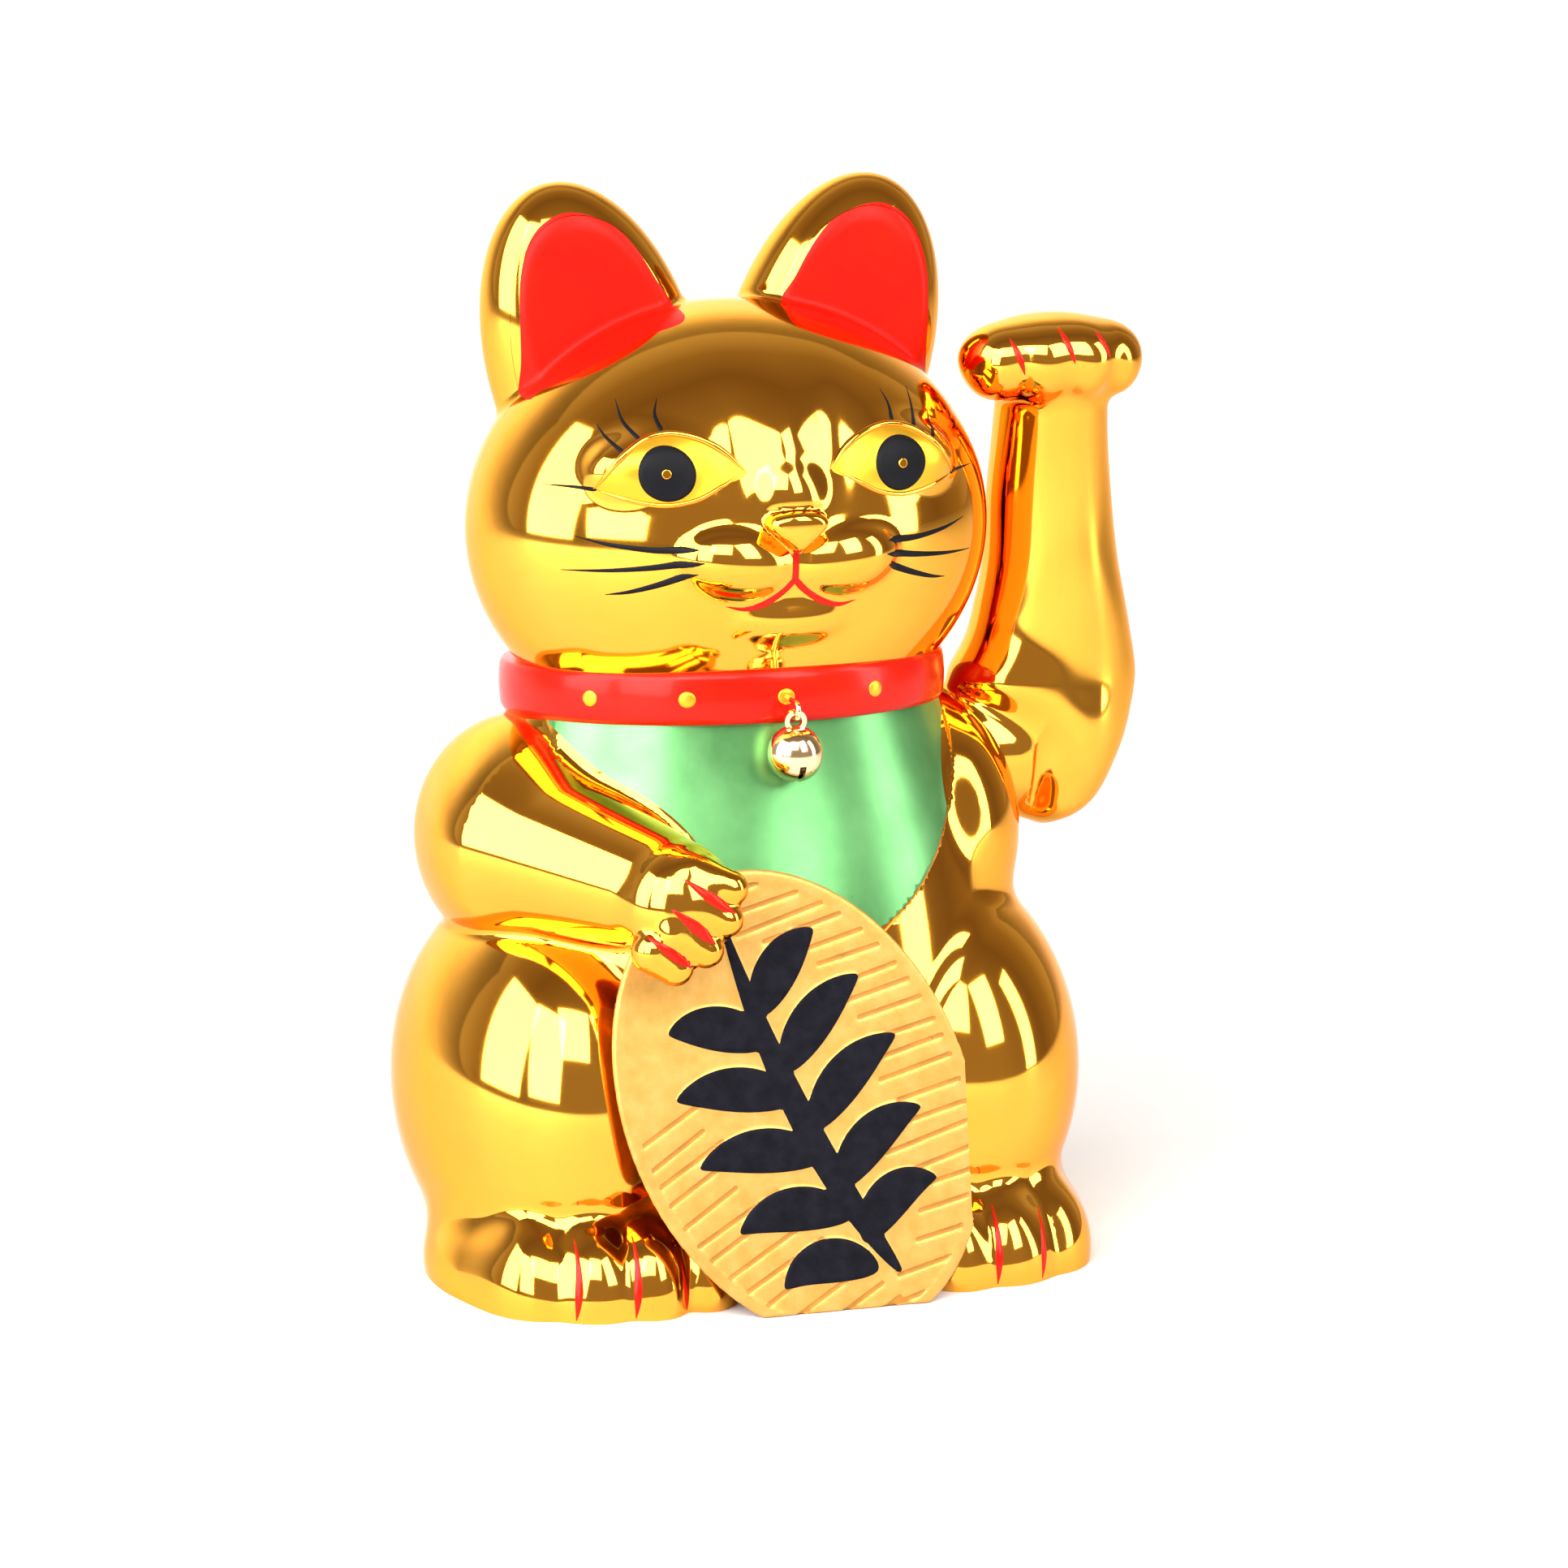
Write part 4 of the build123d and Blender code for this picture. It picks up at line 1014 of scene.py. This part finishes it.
def coin_paint(p):
    """Positive on the sprig."""
    a, b, w = coin_plane(p)
    return np.where(w > -1.0, -sprig_field(a, b), -1.0)


def groove_shade_mask(p):
    """Positive in the chiselled lines of the coin's face, where a darker colour is painted in as shade."""
    a, b, w = coin_plane(p)
    near = np.sqrt((a / COIN_HALF[0]) ** 2 + (b / COIN_HALF[1]) ** 2)
    return np.where((w > -1.0) & (near < 0.95), groove_depth(a, b) - 0.5, -1.0)


def build_coin():
    """The coin as one closed piece, whose edge the paw covers."""
    points, tris = surface_net(coin_field, (-42, -66, -1.5), (28, -42, 84), COIN_CELL)
    points, tris, side = cut(points, tris, coin_paint(points))
    plain, painted = tris[~side], tris[side]
    # the grooves get the darker coin material, which is painted shade in them
    points, plain, groove_shade = cut(points, plain, groove_shade_mask(points))
    slots = np.concatenate([np.where(groove_shade, 1, 0), np.full(len(painted), 2)])
    points, tris, slots = weld(points, np.concatenate([plain, painted]), slots)
    piece = make_piece("coin", points, tris, [coin_gold, coin_groove_shade, coin_black], "cat", slots)
    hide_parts("koban_coin")


build_coin()


# ---------------------------------------------------------------- finishes of the CAD nodes that stay
# dark and light colour, roughness, metallic, grain, relief and, where it isn't the usual one, its depth
LOOKS = {
    "base_plastic": ((0.62, 0.38, 0.10), (0.72, 0.46, 0.14), 0.35, 0.5, 700.0, 0.12),
    "door_plastic": ((0.60, 0.37, 0.10), (0.70, 0.45, 0.14), 0.38, 0.5, 700.0, 0.14),
    "bell_brass": ((0.86, 0.62, 0.34), (0.95, 0.74, 0.46), 0.12, 1.0, 500.0, 0.05),
    "steel": ((0.50, 0.51, 0.53), (0.62, 0.63, 0.65), 0.28, 1.0, 900.0, 0.1),
    "spring_steel": ((0.62, 0.63, 0.65), (0.72, 0.73, 0.75), 0.2, 1.0, 900.0, 0.08),
    "magnet": ((0.12, 0.12, 0.13), (0.20, 0.20, 0.22), 0.35, 0.8, 800.0, 0.1),
    "cell_jacket": ((0.02, 0.04, 0.14), (0.04, 0.07, 0.20), 0.25, 0.3, 300.0, 0.05),
    "board": ((0.01, 0.12, 0.04), (0.02, 0.18, 0.07), 0.35, 0.0, 600.0, 0.15),
    "bobbin": ((0.72, 0.70, 0.60), (0.80, 0.78, 0.70), 0.45, 0.0, 500.0, 0.08),
    "copper": ((0.55, 0.18, 0.06), (0.70, 0.28, 0.10), 0.3, 0.9, 4000.0, 0.5, 0.0002),
    "component": ((0.01, 0.01, 0.012), (0.025, 0.025, 0.03), 0.45, 0.0, 800.0, 0.1),
    "resistor": ((0.55, 0.42, 0.24), (0.66, 0.52, 0.32), 0.35, 0.0, 500.0, 0.08),
    "switch_black": ((0.012, 0.012, 0.013), (0.03, 0.03, 0.032), 0.5, 0.0, 900.0, 0.2),
    "lead_red": ((0.40, 0.01, 0.01), (0.52, 0.02, 0.02), 0.45, 0.0, 700.0, 0.1),
    "lead_black": ((0.01, 0.01, 0.01), (0.02, 0.02, 0.02), 0.45, 0.0, 700.0, 0.1),
    "lever_plastic": ((0.74, 0.73, 0.66), (0.82, 0.81, 0.76), 0.42, 0.0, 600.0, 0.1),
}
FINISH = {slot: surface(slot, *look) for slot, look in LOOKS.items()}
FINISH.update(gold_plastic=gold, coin_plastic=coin_gold)


def finish_nodes():
    """Give every CAD node the finish of its slot."""
    for part in frame["record"]["subparts"]:
        node = frame["nodes"][part["node"]]
        node.data.materials.clear()
        node.data.materials.append(FINISH[part["material_slot"]])


finish_nodes()


# ---------------------------------------------------------------- floor, light and camera
LOOK_AT = (0, 0, 0.1)


def build_stage():
    """A white floor that curves up into a white wall far behind."""
    reach, wall_y, bend = 3.0, 1.6, 0.8
    rows = [(-reach, 0.0)]
    rows += [(wall_y - bend + bend * math.sin(a), bend - bend * math.cos(a))
             for a in [math.pi / 2 * i / 24 for i in range(25)]]
    rows += [(wall_y, 3.0)]
    points = [(x * 1000, y * 1000, z * 1000 - 0.05) for y, z in rows for x in (-reach, reach)]
    quads = [(2 * i, 2 * i + 1, 2 * i + 3, 2 * i + 2) for i in range(len(rows) - 1)]
    mesh = bpy.data.meshes.new("floor")
    mesh.from_pydata([tuple(c * MM for c in p) for p in points], [], quads)
    paper = surface("paper_white", (0.60, 0.60, 0.60), (0.64, 0.64, 0.64), 0.7, 0.0, 60.0, 0.02)
    mesh.materials.append(paper)
    mesh.polygons.foreach_set("use_smooth", [True] * len(mesh.polygons))
    floor = add_object("floor", mesh)


def add_light(name, place, size, power, target=LOOK_AT):
    """A rectangular soft light that faces the figurine."""
    lamp = bpy.data.lights.new(name, "AREA")
    lamp.shape = "RECTANGLE"
    lamp.size, lamp.size_y = size
    lamp.energy = power
    holder = add_object(name, lamp)
    holder.location = place
    holder.rotation_euler = (Vector(target) - Vector(place)).to_track_quat("-Z", "Y").to_euler()


# name, azimuth from the front, height angle, width and height, watts
SOFT_BOXES = [("box_far_left", -84, 24, (0.7, 1.2), 22), ("box_left", -50, 26, (0.65, 1.2), 22),
              ("box_upper", -20, 42, (0.65, 0.7), 12), ("box_right", 24, 36, (0.5, 0.9), 13),
              ("strip_right", 64, 20, (0.3, 1.1), 8)]


def build_light():
    """White surroundings behind, a dim warm room in front, and soft boxes."""
    world = bpy.data.worlds.new("room")
    world.use_nodes = True
    bpy.context.scene.world = world
    tree = world.node_tree
    place = tree.nodes.new("ShaderNodeTexCoord")
    split = tree.nodes.new("ShaderNodeSeparateXYZ")
    tree.links.new(place.outputs["Generated"], split.inputs["Vector"])
    shade = ramp(tree, map_range(tree, split.outputs["Y"], -0.9, 0.9, "From"),
                 [(0.0, (0.40, 0.34, 0.26)), (0.45, (0.22, 0.16, 0.11)), (0.62, (0.34, 0.27, 0.18)),
                  (0.82, (0.72, 0.70, 0.66)), (1.0, (0.88, 0.88, 0.88))])
    tree.links.new(shade, tree.nodes["Background"].inputs["Color"])
    tree.nodes["Background"].inputs["Strength"].default_value = 1.0
    for name, azimuth, rise, size, power in SOFT_BOXES:
        a, e = math.radians(azimuth), math.radians(rise)
        way = (math.sin(a) * math.cos(e), -math.cos(a) * math.cos(e), math.sin(e))
        add_light(name, tuple(1.3 * c + (0.1 if i == 2 else 0) for i, c in enumerate(way)), size, power)
    add_light("back_wash", (0.0, 0.75, 1.2), (2.4, 0.8), 38, target=(0, 1.6, 0.7))


def build_camera():
    """Camera a little above the figurine and to its right-hand side, looking slightly down."""
    turn, rise, roll = math.radians(-17.9), math.radians(11.8), math.radians(0.28)
    away = 1.103
    back = Vector((math.sin(turn) * math.cos(rise), -math.cos(turn) * math.cos(rise), math.sin(rise)))
    data = bpy.data.cameras.new("camera")
    data.sensor_width = 36.0
    data.lens = 134.4
    data.shift_x = 0.0373
    data.shift_y = -0.0474
    data.clip_end = 50
    camera = add_object("camera", data)
    camera.location = Vector(LOOK_AT) + back * away
    camera.rotation_mode = "QUATERNION"
    facing = (-back).to_track_quat("-Z", "Y")
    camera.rotation_quaternion = facing @ Quaternion((0, 0, 1), roll)
    bpy.context.scene.camera = camera
    bpy.context.scene.view_settings.view_transform = "Standard"


build_stage()
build_light()
build_camera()
